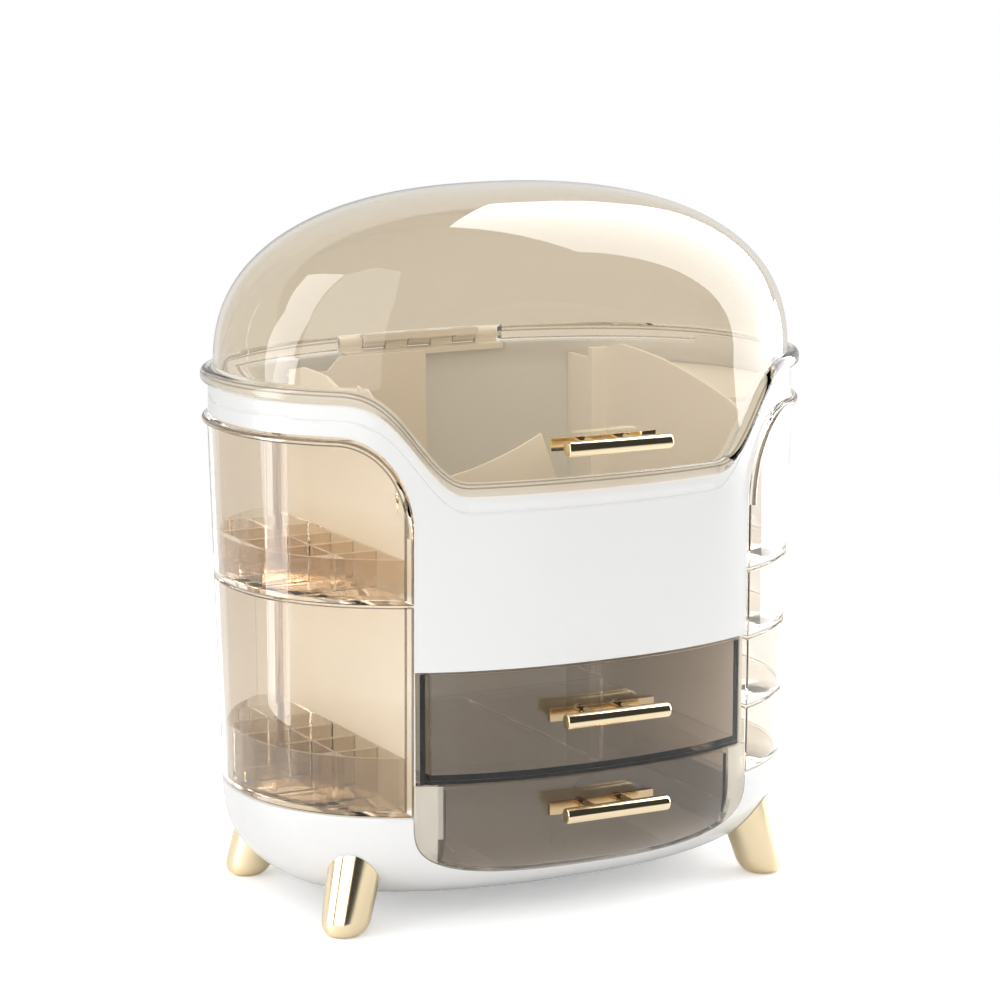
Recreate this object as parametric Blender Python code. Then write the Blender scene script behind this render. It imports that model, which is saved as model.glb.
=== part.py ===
"""Makeup organizer: oval housing with a domed lid, two drawers and side bins that swing out.

Sizes are in millimetres and become metres when a mesh is made. X runs to the right, Y to the back,
Z up. The plan oval's centre is the middle of every size below.
"""

import math

import bmesh
import bpy

MM = 0.001
SHARP_ANGLE = 35.0

# Plan oval
PLAN_POWER = 2.25
PLAN_POINTS = 60

# Fits
SEAT_GAP = 0.3
EDGE_GAP = 0.5
BIN_GAP = 0.9
SCREW_GAP = 0.25
ROD_GAP = 0.08

# How far cutters start and end beyond what they cut
CUT_SPARE = 20.0

# Bead round the lid, the widest line of the box, from which the oval pieces inside it are sized
BEAD_HALF_WIDTH = 150.0
BEAD_HALF_DEPTH = 100.0
BEAD_OVER_SHELL = 3.5
CUT_X = BEAD_HALF_WIDTH + CUT_SPARE
CUT_Y = BEAD_HALF_DEPTH + CUT_SPARE

# Housing shell
SHELL_HALF_WIDTH = BEAD_HALF_WIDTH - BEAD_OVER_SHELL
SHELL_HALF_DEPTH = BEAD_HALF_DEPTH - BEAD_OVER_SHELL
SHELL_WALL = 2.5
SHELL_TOP_Z = 250.5
PANEL_LOW_Z = 127.0
BAND_LOW_Z = 236.0
LIP_HEIGHT = 3.5
LIP_STEP = 4.2
LIP_WALL = 2.0
LIP_ROOT = 2.0
LIP_END_Y = 40.0
LIP_CUT = 0.3
EDGE_BAND = 12.0

# Notch in the front, which the lid's bib fills
NOTCH_DEPTH = 42.5
NOTCH_FROM_SIDE = 24.5
NOTCH_HALF_WIDTH = SHELL_HALF_WIDTH - NOTCH_FROM_SIDE
NOTCH_BLEND = 60.0
NOTCH_SHARPNESS = 1.2

# Base bowl, which the shell leans out from
RIM_Z = 58.0
SHELL_LEAN_OUT = 5.0
RIM_HALF_WIDTH = SHELL_HALF_WIDTH - SHELL_LEAN_OUT
RIM_OVER_SHELL = 1.0
RIM_HALF_DEPTH = SHELL_HALF_DEPTH + RIM_OVER_SHELL
SHELL_SET_IN = 0.2
SHELL_LOW_HALF_WIDTH = RIM_HALF_WIDTH - SHELL_SET_IN
BOWL_DROP = 55.5
BOWL_SIDE_REACH = 101.0
BOWL_FRONT_REACH = 131.0
BOWL_POWER = 2.6
BOWL_UNDER_Z = 13.0
BOWL_WALL = 2.6
BOWL_RINGS = 6
BOWL_RING_CROWDING = 1.3
FRONT_CUT_IN = 37.5

# Pivot rods at the rear corners, and the well's side walls between the bins
BIN_SPACE = 58.5
TOWER_OUTER_X = SHELL_HALF_WIDTH - BIN_SPACE
TOWER_WALL = 1.7
ROD_FROM_BACK = 27.5
ROD_FROM_TOWER = 1.5
ROD_X = TOWER_OUTER_X + ROD_FROM_TOWER
ROD_Y = SHELL_HALF_DEPTH - ROD_FROM_BACK
ROD_RADIUS = 2.0
ROD_COLLAR_RADIUS = 3.8
BARREL_RADIUS = 5.5
ROD_POINTS = 16
TOWER_STEP_IN = 8.0
TOWER_STEP_X = TOWER_OUTER_X - TOWER_STEP_IN
STEP_FROM_ROD = 12.0
TOWER_STEP_Y = ROD_Y - STEP_FROM_ROD
WELL_BACK_Y = TOWER_STEP_Y - TOWER_WALL - SEAT_GAP
TOWER_END_GAP = 0.57
TOWER_LIP_LENGTH = 3.6
TOWER_LIP_DROP = 27.5
TOWER_LIP_Z = SHELL_TOP_Z - TOWER_LIP_DROP
TOWER_WAVE_RISE = 1.5
TOWER_WAVE_HIGH_Z = SHELL_TOP_Z + TOWER_WAVE_RISE
TOWER_WAVE_DROP = 15.5
TOWER_WAVE_LOW_Z = SHELL_TOP_Z - TOWER_WAVE_DROP
TOWER_WAVE_FROM_STEP = 14.6
TOWER_WAVE_END_Y = TOWER_STEP_Y - TOWER_WAVE_FROM_STEP
TOWER_WAVE_POWER = 0.8
TOWER_REAR_DROP = 1.7
TOWER_REAR_Z = SHELL_TOP_Z - TOWER_REAR_DROP
TOWER_BACK_DROP = 7.0
TOWER_BACK_Z = SHELL_TOP_Z - TOWER_BACK_DROP
WELL_FLOOR_THICK = 2.4

# Decks and shoulders
DECK_THICK = 2.5
SHOULDER_THICK = 2.4
SHOULDER_CORNER = 18.0
SHOULDER_CORNER_X = TOWER_OUTER_X + SHOULDER_CORNER

# Dividers that stand in the well
DIVIDER_THICK = 1.6
REAR_DIVIDER_EDGE_X = -16.0
REAR_DIVIDER_RISE = 3.5
REAR_DIVIDER_TOP_Z = SHELL_TOP_Z + REAR_DIVIDER_RISE
REAR_DIVIDER_LOW_LENGTH = 26.0
REAR_DIVIDER_STEP_X = -TOWER_OUTER_X + REAR_DIVIDER_LOW_LENGTH
REAR_DIVIDER_STEP = 7.0
FRONT_DIVIDER_FROM_FRONT = 36.5
FRONT_DIVIDER_Y = -SHELL_HALF_DEPTH + FRONT_DIVIDER_FROM_FRONT
FRONT_DIVIDER_FOOT_X = 4.0
FRONT_DIVIDER_BEND_X = -4.0
FRONT_DIVIDER_BEND_DROP = 43.5
FRONT_DIVIDER_BEND_Z = SHELL_TOP_Z - FRONT_DIVIDER_BEND_DROP
FRONT_DIVIDER_PEAK_X = -12.0
FRONT_DIVIDER_PEAK_DROP = 21.5
FRONT_DIVIDER_PEAK_Z = SHELL_TOP_Z - FRONT_DIVIDER_PEAK_DROP
FRONT_DIVIDER_SAG = 19.0

# Feet
FOOT_FROM_SIDE = 27.5
FOOT_X = RIM_HALF_WIDTH - FOOT_FROM_SIDE
FOOT_FROM_FRONT = 40.5
FOOT_Y = RIM_HALF_DEPTH - FOOT_FROM_FRONT
FOOT_SPLAY_X = 10.0
FOOT_SPLAY_Y = 5.0
FOOT_TOP_Z = 38.0
FOOT_TOP_RADIUS = 13.2
FOOT_LOW_RADIUS = 11.6
FOOT_PAD_RADIUS = 5.5
FOOT_ROUND = 8.0
FOOT_CUT_Z = 50.0

# Drawers
CHEEK_OUTER_X = TOWER_OUTER_X - TOWER_WALL - SEAT_GAP
CHEEK_THICK = 2.8
CHEEK_BELOW_RIM = 16.0
CHEEK_LOW_Z = RIM_Z - CHEEK_BELOW_RIM
CHEEK_TOP_GAP = 1.0
CHEEK_TOP_Z = PANEL_LOW_Z - CHEEK_TOP_GAP
CHEEK_FROM_FRONT = 22.0
CHEEK_BEHIND_FACE = 0.6
SHELF_BEHIND_FACE = 0.8
OPENING_OVER_TOWER = 1.0
OPENING_HALF_WIDTH = TOWER_OUTER_X + OPENING_OVER_TOWER
OPENING_DROP = 31.0
OPENING_POWER = 3.3
LOWER_DRAWER_TOP_Z = 73.3
LOWER_TUB_SET_IN = 10.0
LOWER_TUB_HALF_WIDTH = CHEEK_OUTER_X - LOWER_TUB_SET_IN
LOWER_TUB_DROP = 2.8
LOWER_TUB_TOP_Z = LOWER_DRAWER_TOP_Z - LOWER_TUB_DROP
TUB_GAP = 0.6
BAY_FLOOR_THICK = 2.6
BAY_FLOOR_RISE = 0.1
SHELF_GAP = 0.7
SHELF_LOW_Z = LOWER_DRAWER_TOP_Z + SHELF_GAP
SHELF_THICK = 1.7
DRAWER_BACK_Y = WELL_BACK_Y
DRAWER_WALL = 2.0
DRAWER_FRONT_WALL = 2.6
DRAWER_FLOOR = 2.0
DRAWER_FACE_OUT = 1.0
DRAWER_SIDE_GAP = 0.8
DRAWER_SLIDE_GAP = 0.4
UPPER_DRAWER_HALF_WIDTH = CHEEK_OUTER_X - CHEEK_THICK - DRAWER_SIDE_GAP
UPPER_DRAWER_LOW_Z = SHELF_LOW_Z + SHELF_THICK + DRAWER_SLIDE_GAP
UPPER_DRAWER_TOP_Z = CHEEK_TOP_Z - DRAWER_SLIDE_GAP
UPPER_DIVIDER_X = 1.5
UPPER_DIVIDER_HEIGHT = 40.0

# Side bins
BIN_TOWER_GAP = 0.7
BIN_INNER_X = TOWER_OUTER_X + BIN_TOWER_GAP
BIN_OVER_SHELL = 0.5
BIN_LOW_HALF_WIDTH = SHELL_LOW_HALF_WIDTH
BIN_TOP_HALF_WIDTH = SHELL_HALF_WIDTH + BIN_OVER_SHELL
BIN_HALF_DEPTH = RIM_HALF_DEPTH
BIN_LIFT = 0.6
BIN_LOW_Z = RIM_Z + BIN_LIFT
BIN_TOP_GAP = 1.2
BIN_TOP_Z = BAND_LOW_Z - BIN_TOP_GAP
BIN_SLANT_WIDTH = 12.3
BIN_REAR_X = BIN_INNER_X + BIN_SLANT_WIDTH
BIN_FROM_ROD = 7.5
BIN_REAR_INNER_Y = ROD_Y - BIN_FROM_ROD
BIN_WALL = 2.0
BIN_FLOOR = 2.0
BIN_CORNER_RADIUS_X = 30.0
BIN_CORNER_RADIUS_Z = 45.0
BIN_CORNER_EASE = 0.4
BIN_CORNER_X = BIN_INNER_X + BIN_CORNER_RADIUS_X
BIN_CORNER_TOP_OVER = 0.2
BIN_CORNER_Z = BIN_TOP_Z - BIN_CORNER_RADIUS_Z + BIN_CORNER_TOP_OVER
BIN_CORNER_DEPTH = 67.5
BARREL_EASE = 0.2
COLLAR_DEPTH = 1.2
COLLAR_GAP = 0.6
BEAD_OUT = 2.5
BEAD_IN = 1.0
BEAD_HEIGHT = 3.0
BEAD_BELOW_TOP = 0.1
BEAD_END_IN = 3.0
LEFT_SPLITS = (158.0,)
RIGHT_SPLITS = (91.0, 125.0, 158.5)

# Lipstick grids
GRID_CELL = 22.6
GRID_PITCH_X = 24.2
GRID_PITCH_Y = 25.0
GRID_ROW_COUNT = 5
GRID_COLUMN_SET_IN = 13.5
GRID_INNER_COLUMN_X = BIN_INNER_X + GRID_COLUMN_SET_IN
GRID_OUTER_COLUMN_X = GRID_INNER_COLUMN_X + GRID_PITCH_X
GRID_ROW_SET_IN = 24.0
GRID_REAR_ROW_Y = BIN_REAR_INNER_Y - GRID_ROW_SET_IN
GRID_ROWS = [GRID_REAR_ROW_Y - GRID_PITCH_Y * i for i in reversed(range(GRID_ROW_COUNT))]
GRID_WALL = 1.6
GRID_BASE = 1.5
LOWER_GRID_HEIGHT = 25.0
UPPER_GRID_HEIGHT = 18.5

# Lid
BEAD_SIDE_OUT = 4.5
BEAD_FRONT_OUT = 2.5
LID_BEAD_HEIGHT = 6.0
LID_BEAD_ROUND = 1.6
BEAD_CHAMFER = 1.4
BEAD_CROWN = 0.4
LID_EDGE_GAP = 0.5
LID_EDGE_Z = SHELL_TOP_Z + LID_EDGE_GAP
SKIRT_HALF_WIDTH = BEAD_HALF_WIDTH - BEAD_SIDE_OUT
SKIRT_HALF_DEPTH = BEAD_HALF_DEPTH - BEAD_FRONT_OUT
SKIRT_WALL = 2.4
SKIRT_HEIGHT = 7.5
SKIRT_TOP_Z = LID_EDGE_Z + SKIRT_HEIGHT
DOME_SIDE_IN = 1.9
DOME_HALF_WIDTH = SKIRT_HALF_WIDTH - DOME_SIDE_IN
DOME_FRONT_IN = 0.3
DOME_HALF_DEPTH = SKIRT_HALF_DEPTH - DOME_FRONT_IN
DOME_BASE_LIFT = 5.0
DOME_BASE_Z = LID_EDGE_Z + DOME_BASE_LIFT
DOME_TOP_Z = 340.0
DOME_POWER = 2.4
DOME_RINGS = 7
DOME_LAST_RING = 84.0

# Lid hinge
HINGE_SET_IN = 0.2
HINGE_Y = SHELL_HALF_DEPTH - HINGE_SET_IN
HINGE_LIFT = 3.0
HINGE_Z = LID_EDGE_Z + HINGE_LIFT
HINGE_SEAT_DROP = 3.5
HINGE_SEAT_Z = SHELL_TOP_Z - HINGE_SEAT_DROP
KNUCKLE_COUNT = 7
KNUCKLE_PITCH = 12.6
KNUCKLE_RADIUS = 3.5
KNUCKLE_GAP = 0.4
KNUCKLE_POINTS = 20
WEB_EASE = 0.2
WEB_OVERLAP = 0.5
HINGE_HALF_WIDTH = KNUCKLE_COUNT * KNUCKLE_PITCH / 2
HINGE_PIN_RADIUS = 1.4
HINGE_PIN_HEAD = 2.4
HINGE_PIN_HEAD_THICK = 1.2
HINGE_PIN_END = 0.6
HINGE_SEAT_HALF_WIDTH = HINGE_HALF_WIDTH + KNUCKLE_GAP + HINGE_PIN_HEAD_THICK + SEAT_GAP
HINGE_PLATE_THICK = 2.4
HINGE_BASE_SET_IN = 10.3
HINGE_BASE_Y = HINGE_Y - HINGE_BASE_SET_IN
LID_LEAF_SET_IN = 6.9
LID_LEAF_Y = HINGE_Y - LID_LEAF_SET_IN
LID_LEAF_LIFT = 1.0

# Handles
HANDLE_LENGTH = 54.0
HANDLE_RADIUS = 3.75
HANDLE_END_ROUND = 1.0
HANDLE_STANDS_OUT = 15.2
HANDLE_Y = -RIM_HALF_DEPTH - HANDLE_STANDS_OUT
POST_SPACING = 20.0
POST_RADIUS = 2.6
PLATE_LENGTH = 55.0
PLATE_HEIGHT = 6.0
PLATE_THICK = 1.8
SCREW_RADIUS = 1.3
SCREW_HEAD_RADIUS = 2.8
SCREW_HEAD_THICK = 1.8
SCREW_DEPTH_IN_POST = 6.0
SCREW_HOLE_IN = 17.5
LID_HANDLE_DROP = 20.5
LID_HANDLE_Z = LID_EDGE_Z - LID_HANDLE_DROP
UPPER_HANDLE_RISE = 27.9
UPPER_HANDLE_Z = UPPER_DRAWER_LOW_Z + UPPER_HANDLE_RISE
LOWER_HANDLE_DROP = 13.8
LOWER_HANDLE_Z = LOWER_DRAWER_TOP_Z - LOWER_HANDLE_DROP

# The bounding box runs from the handles' fronts to the lid hinge's back
FRONT_REACH = -HANDLE_Y + HANDLE_RADIUS
BACK_REACH = HINGE_Y + KNUCKLE_RADIUS
BODY_Y = (FRONT_REACH - BACK_REACH) / 2

MATERIALS = {
    "white_plastic": ((0.88, 0.88, 0.89, 1.0), 0.3, 0.0),
    "amber_clear": ((0.80, 0.66, 0.50, 0.45), 0.08, 0.0),
    "smoked_clear": ((0.33, 0.27, 0.23, 0.6), 0.1, 0.0),
    "gold": ((0.83, 0.66, 0.38, 1.0), 0.15, 1.0),
    "steel": ((0.62, 0.62, 0.64, 1.0), 0.3, 1.0),
    "cream_plastic": ((0.86, 0.80, 0.72, 1.0), 0.35, 0.0),
}


def clear_scene():
    for obj in list(bpy.data.objects):
        bpy.data.objects.remove(obj, do_unlink=True)


def material(name):
    found = bpy.data.materials.get(name)
    if found:
        return found
    color, roughness, metallic = MATERIALS[name]
    made = bpy.data.materials.new(name)
    made.use_nodes = True
    shader = made.node_tree.nodes["Principled BSDF"]
    shader.inputs["Base Color"].default_value = color
    shader.inputs["Roughness"].default_value = roughness
    shader.inputs["Metallic"].default_value = metallic
    made.diffuse_color = color
    return made


def empty(name, at, parent=None):
    made = bpy.data.objects.new(name, None)
    made.location = [value * MM for value in at]
    made.parent = parent
    bpy.context.scene.collection.objects.link(made)
    return made


def place(name, bm, stuff=None, pivot=None):
    """An object from a closed mesh. One with no material is a cutter, which isn't a piece."""
    bmesh.ops.recalc_face_normals(bm, faces=bm.faces)
    bmesh.ops.scale(bm, vec=(MM, MM, MM), verts=bm.verts)
    mesh = bpy.data.meshes.new(name)
    bm.to_mesh(mesh)
    bm.free()
    mesh.shade_smooth()
    mesh.set_sharp_from_angle(angle=math.radians(SHARP_ANGLE))
    obj = bpy.data.objects.new(name, mesh)
    bpy.context.scene.collection.objects.link(obj)
    obj.parent = pivot or ORGANIZER
    if pivot:
        obj.location = [-value for value in pivot.location]
    if stuff:
        mesh.materials.append(material(stuff))
    else:
        obj.hide_render = True
        obj.display_type = "WIRE"
    return obj


def boolean(target, tool, operation="DIFFERENCE"):
    modifier = target.modifiers.new(tool.name, "BOOLEAN")
    modifier.operation = operation
    modifier.solver = "EXACT"
    modifier.object = tool
    return target


def add_rings(bm, rings, around=False):
    """Faces between rings of points. The two end rings are capped, or joined to each other."""
    made = [[bm.verts.new(point) for point in ring] for ring in rings]
    pairs = list(zip(made, made[1:]))
    if around:
        pairs.append((made[-1], made[0]))
    for low, high in pairs:
        for i, corner in enumerate(low):
            after = (i + 1) % len(low)
            bm.faces.new((corner, low[after], high[after], high[i]))
    if around:
        return
    bm.faces.new(list(reversed(made[0])))
    bm.faces.new(made[-1])


def loft(name, rings, stuff=None, pivot=None, around=False):
    bm = bmesh.new()
    add_rings(bm, rings, around)
    return place(name, bm, stuff, pivot)


def point_on(axis, across, up, along):
    """A point of an outline that lies across one axis, `along` that axis."""
    if axis == "X":
        return (along, across, up)
    if axis == "Y":
        return (across, along, up)
    return (across, up, along)


def add_prism(bm, axis, outline, low, high):
    rings = [[point_on(axis, a, b, at) for a, b in outline] for at in (low, high)]
    add_rings(bm, rings)


def prism(name, axis, outline, low, high, stuff=None, pivot=None):
    bm = bmesh.new()
    add_prism(bm, axis, outline, low, high)
    return place(name, bm, stuff, pivot)


def rectangle(x0, x1, y0, y1):
    return [(x0, y0), (x1, y0), (x1, y1), (x0, y1)]


def box(name, xs, ys, zs, stuff=None, pivot=None):
    return prism(name, "Z", rectangle(*xs, *ys), *zs, stuff, pivot)


def circle(across, up, radius, points):
    steps = [2 * math.pi * (i + 0.5) / points for i in range(points)]
    return [(across + radius * math.cos(a), up + radius * math.sin(a)) for a in steps]


def add_turned(bm, axis, across, up, profile, points):
    """A solid turned about a line along `axis`, from (radius, along) pairs."""
    rings = []
    for radius, along in profile:
        rings.append([point_on(axis, a, b, along) for a, b in circle(across, up, radius, points)])
    add_rings(bm, rings)


def turned(name, axis, across, up, profile, points=20, stuff=None, pivot=None):
    bm = bmesh.new()
    add_turned(bm, axis, across, up, profile, points)
    return place(name, bm, stuff, pivot)


def oval_y(x, half_width, half_depth):
    return half_depth * (1 - (abs(x) / half_width) ** PLAN_POWER) ** (1 / PLAN_POWER)


def oval_point(angle, half_width, half_depth):
    c = math.cos(angle)
    s = math.sin(angle)
    x = half_width * math.copysign(abs(c) ** (2 / PLAN_POWER), c)
    y = half_depth * math.copysign(abs(s) ** (2 / PLAN_POWER), s)
    return x, y


def oval_angles():
    return [2 * math.pi * i / PLAN_POINTS for i in range(PLAN_POINTS)]


def oval(half_width, half_depth):
    return [oval_point(angle, half_width, half_depth) for angle in oval_angles()]


def angle_at(x, half_width):
    """How far round from the side the oval has come in to x."""
    return math.acos((x / half_width) ** (PLAN_POWER / 2))


def oval_arc(from_angle, to_angle, half_width, half_depth, points):
    steps = [from_angle + (to_angle - from_angle) * i / (points - 1) for i in range(points)]
    return [oval_point(angle, half_width, half_depth) for angle in steps]


def smootherstep(t):
    return t * t * t * (t * (6 * t - 15) + 10)


def notch_dip(angle):
    """How far the housing's top edge and the lid's edge drop at an angle round the oval."""
    x, y = oval_point(angle, SHELL_HALF_WIDTH, SHELL_HALF_DEPTH)
    if y > 0:
        return 0.0
    t = min(max((NOTCH_HALF_WIDTH - abs(x)) / NOTCH_BLEND, 0.0), 1.0)
    return NOTCH_DEPTH * smootherstep(t ** NOTCH_SHARPNESS)


def side_half_width(z, low, high):
    """The half width of the housing or of the bins, which both widen upwards."""
    share = (z - RIM_Z) / (BAND_LOW_Z - RIM_Z)
    return low + (high - low) * min(share, 1.0)


def bowl_ring(z, inset=0.0):
    """The bowl's outside at a height, or a ring `inset` further in."""
    u = min(max((RIM_Z - z) / BOWL_DROP, 0.0), 1.0)
    k = 1 - (1 - u**BOWL_POWER) ** (1 / BOWL_POWER)
    half_width = RIM_HALF_WIDTH - BOWL_SIDE_REACH * k - inset
    half_depth = RIM_HALF_DEPTH - BOWL_FRONT_REACH * k - inset
    return half_width, half_depth


def bowl_levels(low, high):
    """Heights between two, closer together near the underside where the bowl curves most."""
    steps = [(i / BOWL_RINGS) ** BOWL_RING_CROWDING for i in range(BOWL_RINGS + 1)]
    return [low + (high - low) * step for step in steps]


def bowl_rings(low, high, inset=0.0):
    rings = []
    for z in bowl_levels(low, high):
        rings.append([(x, y, z) for x, y in oval(*bowl_ring(z, inset))])
    return rings


def bowl_solid(name, inset, top):
    """The bowl's outer form carried straight up to `top`, for fitting other pieces to it."""
    rings = bowl_rings(BOWL_UNDER_Z + inset, RIM_Z, inset)
    rings.append([(x, y, top) for x, y in oval(*bowl_ring(RIM_Z, inset))])
    return loft(name, rings)


def opening_outline(inset, half_width=None):
    """The lower drawer's opening seen from the front, open to above the rim."""
    widest = OPENING_HALF_WIDTH - inset
    drop = OPENING_DROP - inset
    curve = []
    for i in range(25):
        angle = math.pi * i / 24
        x = -widest * math.copysign(abs(math.cos(angle)) ** (2 / OPENING_POWER), math.cos(angle))
        curve.append((x, RIM_Z - drop * math.sin(angle) ** (2 / OPENING_POWER)))
    if half_width:
        edge_z = RIM_Z - drop * (1 - (half_width / widest) ** OPENING_POWER) ** (1 / OPENING_POWER)
        curve = [(x, z) for x, z in curve if abs(x) < half_width]
        curve = [(-half_width, edge_z), *curve, (half_width, edge_z)]
    top = RIM_Z + 2 * CUT_SPARE
    return [(curve[0][0], top), *curve, (curve[-1][0], top)]


def make_base_bowl():
    outer = bowl_rings(BOWL_UNDER_Z, RIM_Z)
    inner = bowl_rings(BOWL_UNDER_Z + BOWL_WALL, RIM_Z, BOWL_WALL)
    bowl = loft("base_bowl", outer + inner[::-1], "white_plastic")
    cutter = prism("cut_drawer_opening", "Y", opening_outline(0.0), -CUT_Y, -RIM_HALF_DEPTH + FRONT_CUT_IN)
    return boolean(bowl, cutter)


def tower_front_y():
    """Where the tower sides end behind the front panel, at the panel's lowest and narrowest."""
    half_width = side_half_width(PANEL_LOW_Z, SHELL_LOW_HALF_WIDTH, SHELL_HALF_WIDTH) - SHELL_WALL
    return -oval_y(TOWER_OUTER_X, half_width, SHELL_HALF_DEPTH - SHELL_WALL) + TOWER_END_GAP


def tower_back_y():
    """Where the tower sides end before the back panel, at its lowest and narrowest."""
    half_width = SHELL_LOW_HALF_WIDTH - SHELL_WALL
    return oval_y(TOWER_STEP_X, half_width, SHELL_HALF_DEPTH - SHELL_WALL) - TOWER_END_GAP


def side_plate(name, side, z, thick, half_width, half_depth, inner_x, corner_x, stuff):
    """A flat plate over one end of the oval, stepped in at the rear round the pivot rod."""
    rear_x = TOWER_STEP_X + SEAT_GAP if inner_x > TOWER_OUTER_X else TOWER_STEP_X - TOWER_WALL
    start = -angle_at(corner_x, half_width)
    end = angle_at(rear_x, half_width)
    outline = oval_arc(start, end, half_width, half_depth, 24)
    outline += [(rear_x, TOWER_STEP_Y + SEAT_GAP), (inner_x, TOWER_STEP_Y + SEAT_GAP)]
    if corner_x > inner_x:
        outline.append((inner_x, tower_front_y() + corner_x - inner_x + 1.0))
    outline = [(side * x, y) for x, y in outline]
    plate = prism(name, "Z", outline, z, z + thick, stuff)
    hole = turned(
        f"cut_{name}_rod", "Z", side * ROD_X, ROD_Y,
        [(ROD_RADIUS + SEAT_GAP, z - CUT_SPARE), (ROD_RADIUS + SEAT_GAP, z + thick + CUT_SPARE)],
    )
    return boolean(plate, hole)


def make_decks():
    half_width, half_depth = bowl_ring(RIM_Z - DECK_THICK, BOWL_WALL + SEAT_GAP)
    for name, side in (("deck_left", -1), ("deck_right", 1)):
        inner = CHEEK_OUTER_X + SEAT_GAP
        side_plate(
            name, side, RIM_Z - DECK_THICK, DECK_THICK, half_width, half_depth, inner, inner,
            "white_plastic",
        )


def make_shoulders():
    half_width = SHELL_HALF_WIDTH - SHELL_WALL - 2 * SEAT_GAP
    half_depth = SHELL_HALF_DEPTH - SHELL_WALL - 2 * SEAT_GAP
    for name, side in (("shoulder_left", -1), ("shoulder_right", 1)):
        side_plate(
            name, side, BAND_LOW_Z + SEAT_GAP, SHOULDER_THICK, half_width, half_depth,
            TOWER_OUTER_X + SEAT_GAP, SHOULDER_CORNER_X, "white_plastic",
        )


def shell_ring(inset, z_of):
    """A ring of the housing shell, which leans out with height."""
    points = []
    for angle in oval_angles():
        z = z_of(angle)
        half_width = side_half_width(z, SHELL_LOW_HALF_WIDTH, SHELL_HALF_WIDTH) - inset
        points.append((*oval_point(angle, half_width, SHELL_HALF_DEPTH - inset), z))
    return points


def window_outline(side, arc_points=14):
    """One end window of the shell from the front, rounded at its top corner like the bins."""
    inner = BIN_INNER_X - EDGE_GAP
    radius_x = BIN_CORNER_X - inner
    radius_z = BAND_LOW_Z - BIN_CORNER_Z
    points = [(inner, RIM_Z - CUT_SPARE)]
    for i in range(arc_points):
        angle = math.pi / 2 * i / (arc_points - 1)
        x = BIN_CORNER_X - radius_x * math.cos(angle)
        points.append((x, BIN_CORNER_Z + radius_z * math.sin(angle)))
    points += [(CUT_X, BAND_LOW_Z), (CUT_X, RIM_Z - CUT_SPARE)]
    return [(side * x, z) for x, z in points]


def make_body_shell():
    def edge(angle):
        return SHELL_TOP_Z - notch_dip(angle)

    rings = [
        shell_ring(0.0, lambda angle: RIM_Z + SEAT_GAP),
        shell_ring(0.0, lambda angle: min(BAND_LOW_Z, edge(angle) - EDGE_BAND)),
        shell_ring(0.0, edge),
        shell_ring(LIP_STEP, edge),
        shell_ring(LIP_STEP, lambda angle: edge(angle) + LIP_HEIGHT),
        shell_ring(LIP_STEP + LIP_WALL, lambda angle: edge(angle) + LIP_HEIGHT),
        shell_ring(LIP_STEP + LIP_WALL, lambda angle: edge(angle) - LIP_ROOT),
        shell_ring(SHELL_WALL, lambda angle: edge(angle) - LIP_ROOT - LIP_STEP),
        shell_ring(SHELL_WALL, lambda angle: RIM_Z + SEAT_GAP),
    ]
    shell = loft("body_shell", rings, "white_plastic", around=True)
    low = RIM_Z - CUT_SPARE
    high = SHELL_TOP_Z + CUT_SPARE
    for label, side in (("left", -1), ("right", 1)):
        front = prism(f"cut_window_{label}", "Y", window_outline(side), -CUT_Y, 0.0)
        boolean(shell, front)
        xs = sorted((side * TOWER_STEP_X, side * CUT_X))
        rear = box(f"cut_rear_window_{label}", xs, (-1.0, CUT_Y), (low, BAND_LOW_Z))
        boolean(shell, rear)
    width = OPENING_HALF_WIDTH + OPENING_OVER_TOWER
    bay = box("cut_drawer_bay", (-width, width), (-CUT_Y, -CUT_SPARE), (low, PANEL_LOW_Z))
    boolean(shell, bay)
    lip = box("cut_rear_lip", (-CUT_X, CUT_X), (LIP_END_Y, CUT_Y), (SHELL_TOP_Z - LIP_CUT, high))
    boolean(shell, lip)
    half = HINGE_SEAT_HALF_WIDTH
    seat = box("cut_hinge_seat", (-half, half), (HINGE_Y - FRONT_CUT_IN, CUT_Y), (HINGE_SEAT_Z, high))
    boolean(shell, seat)
    return shell


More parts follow.
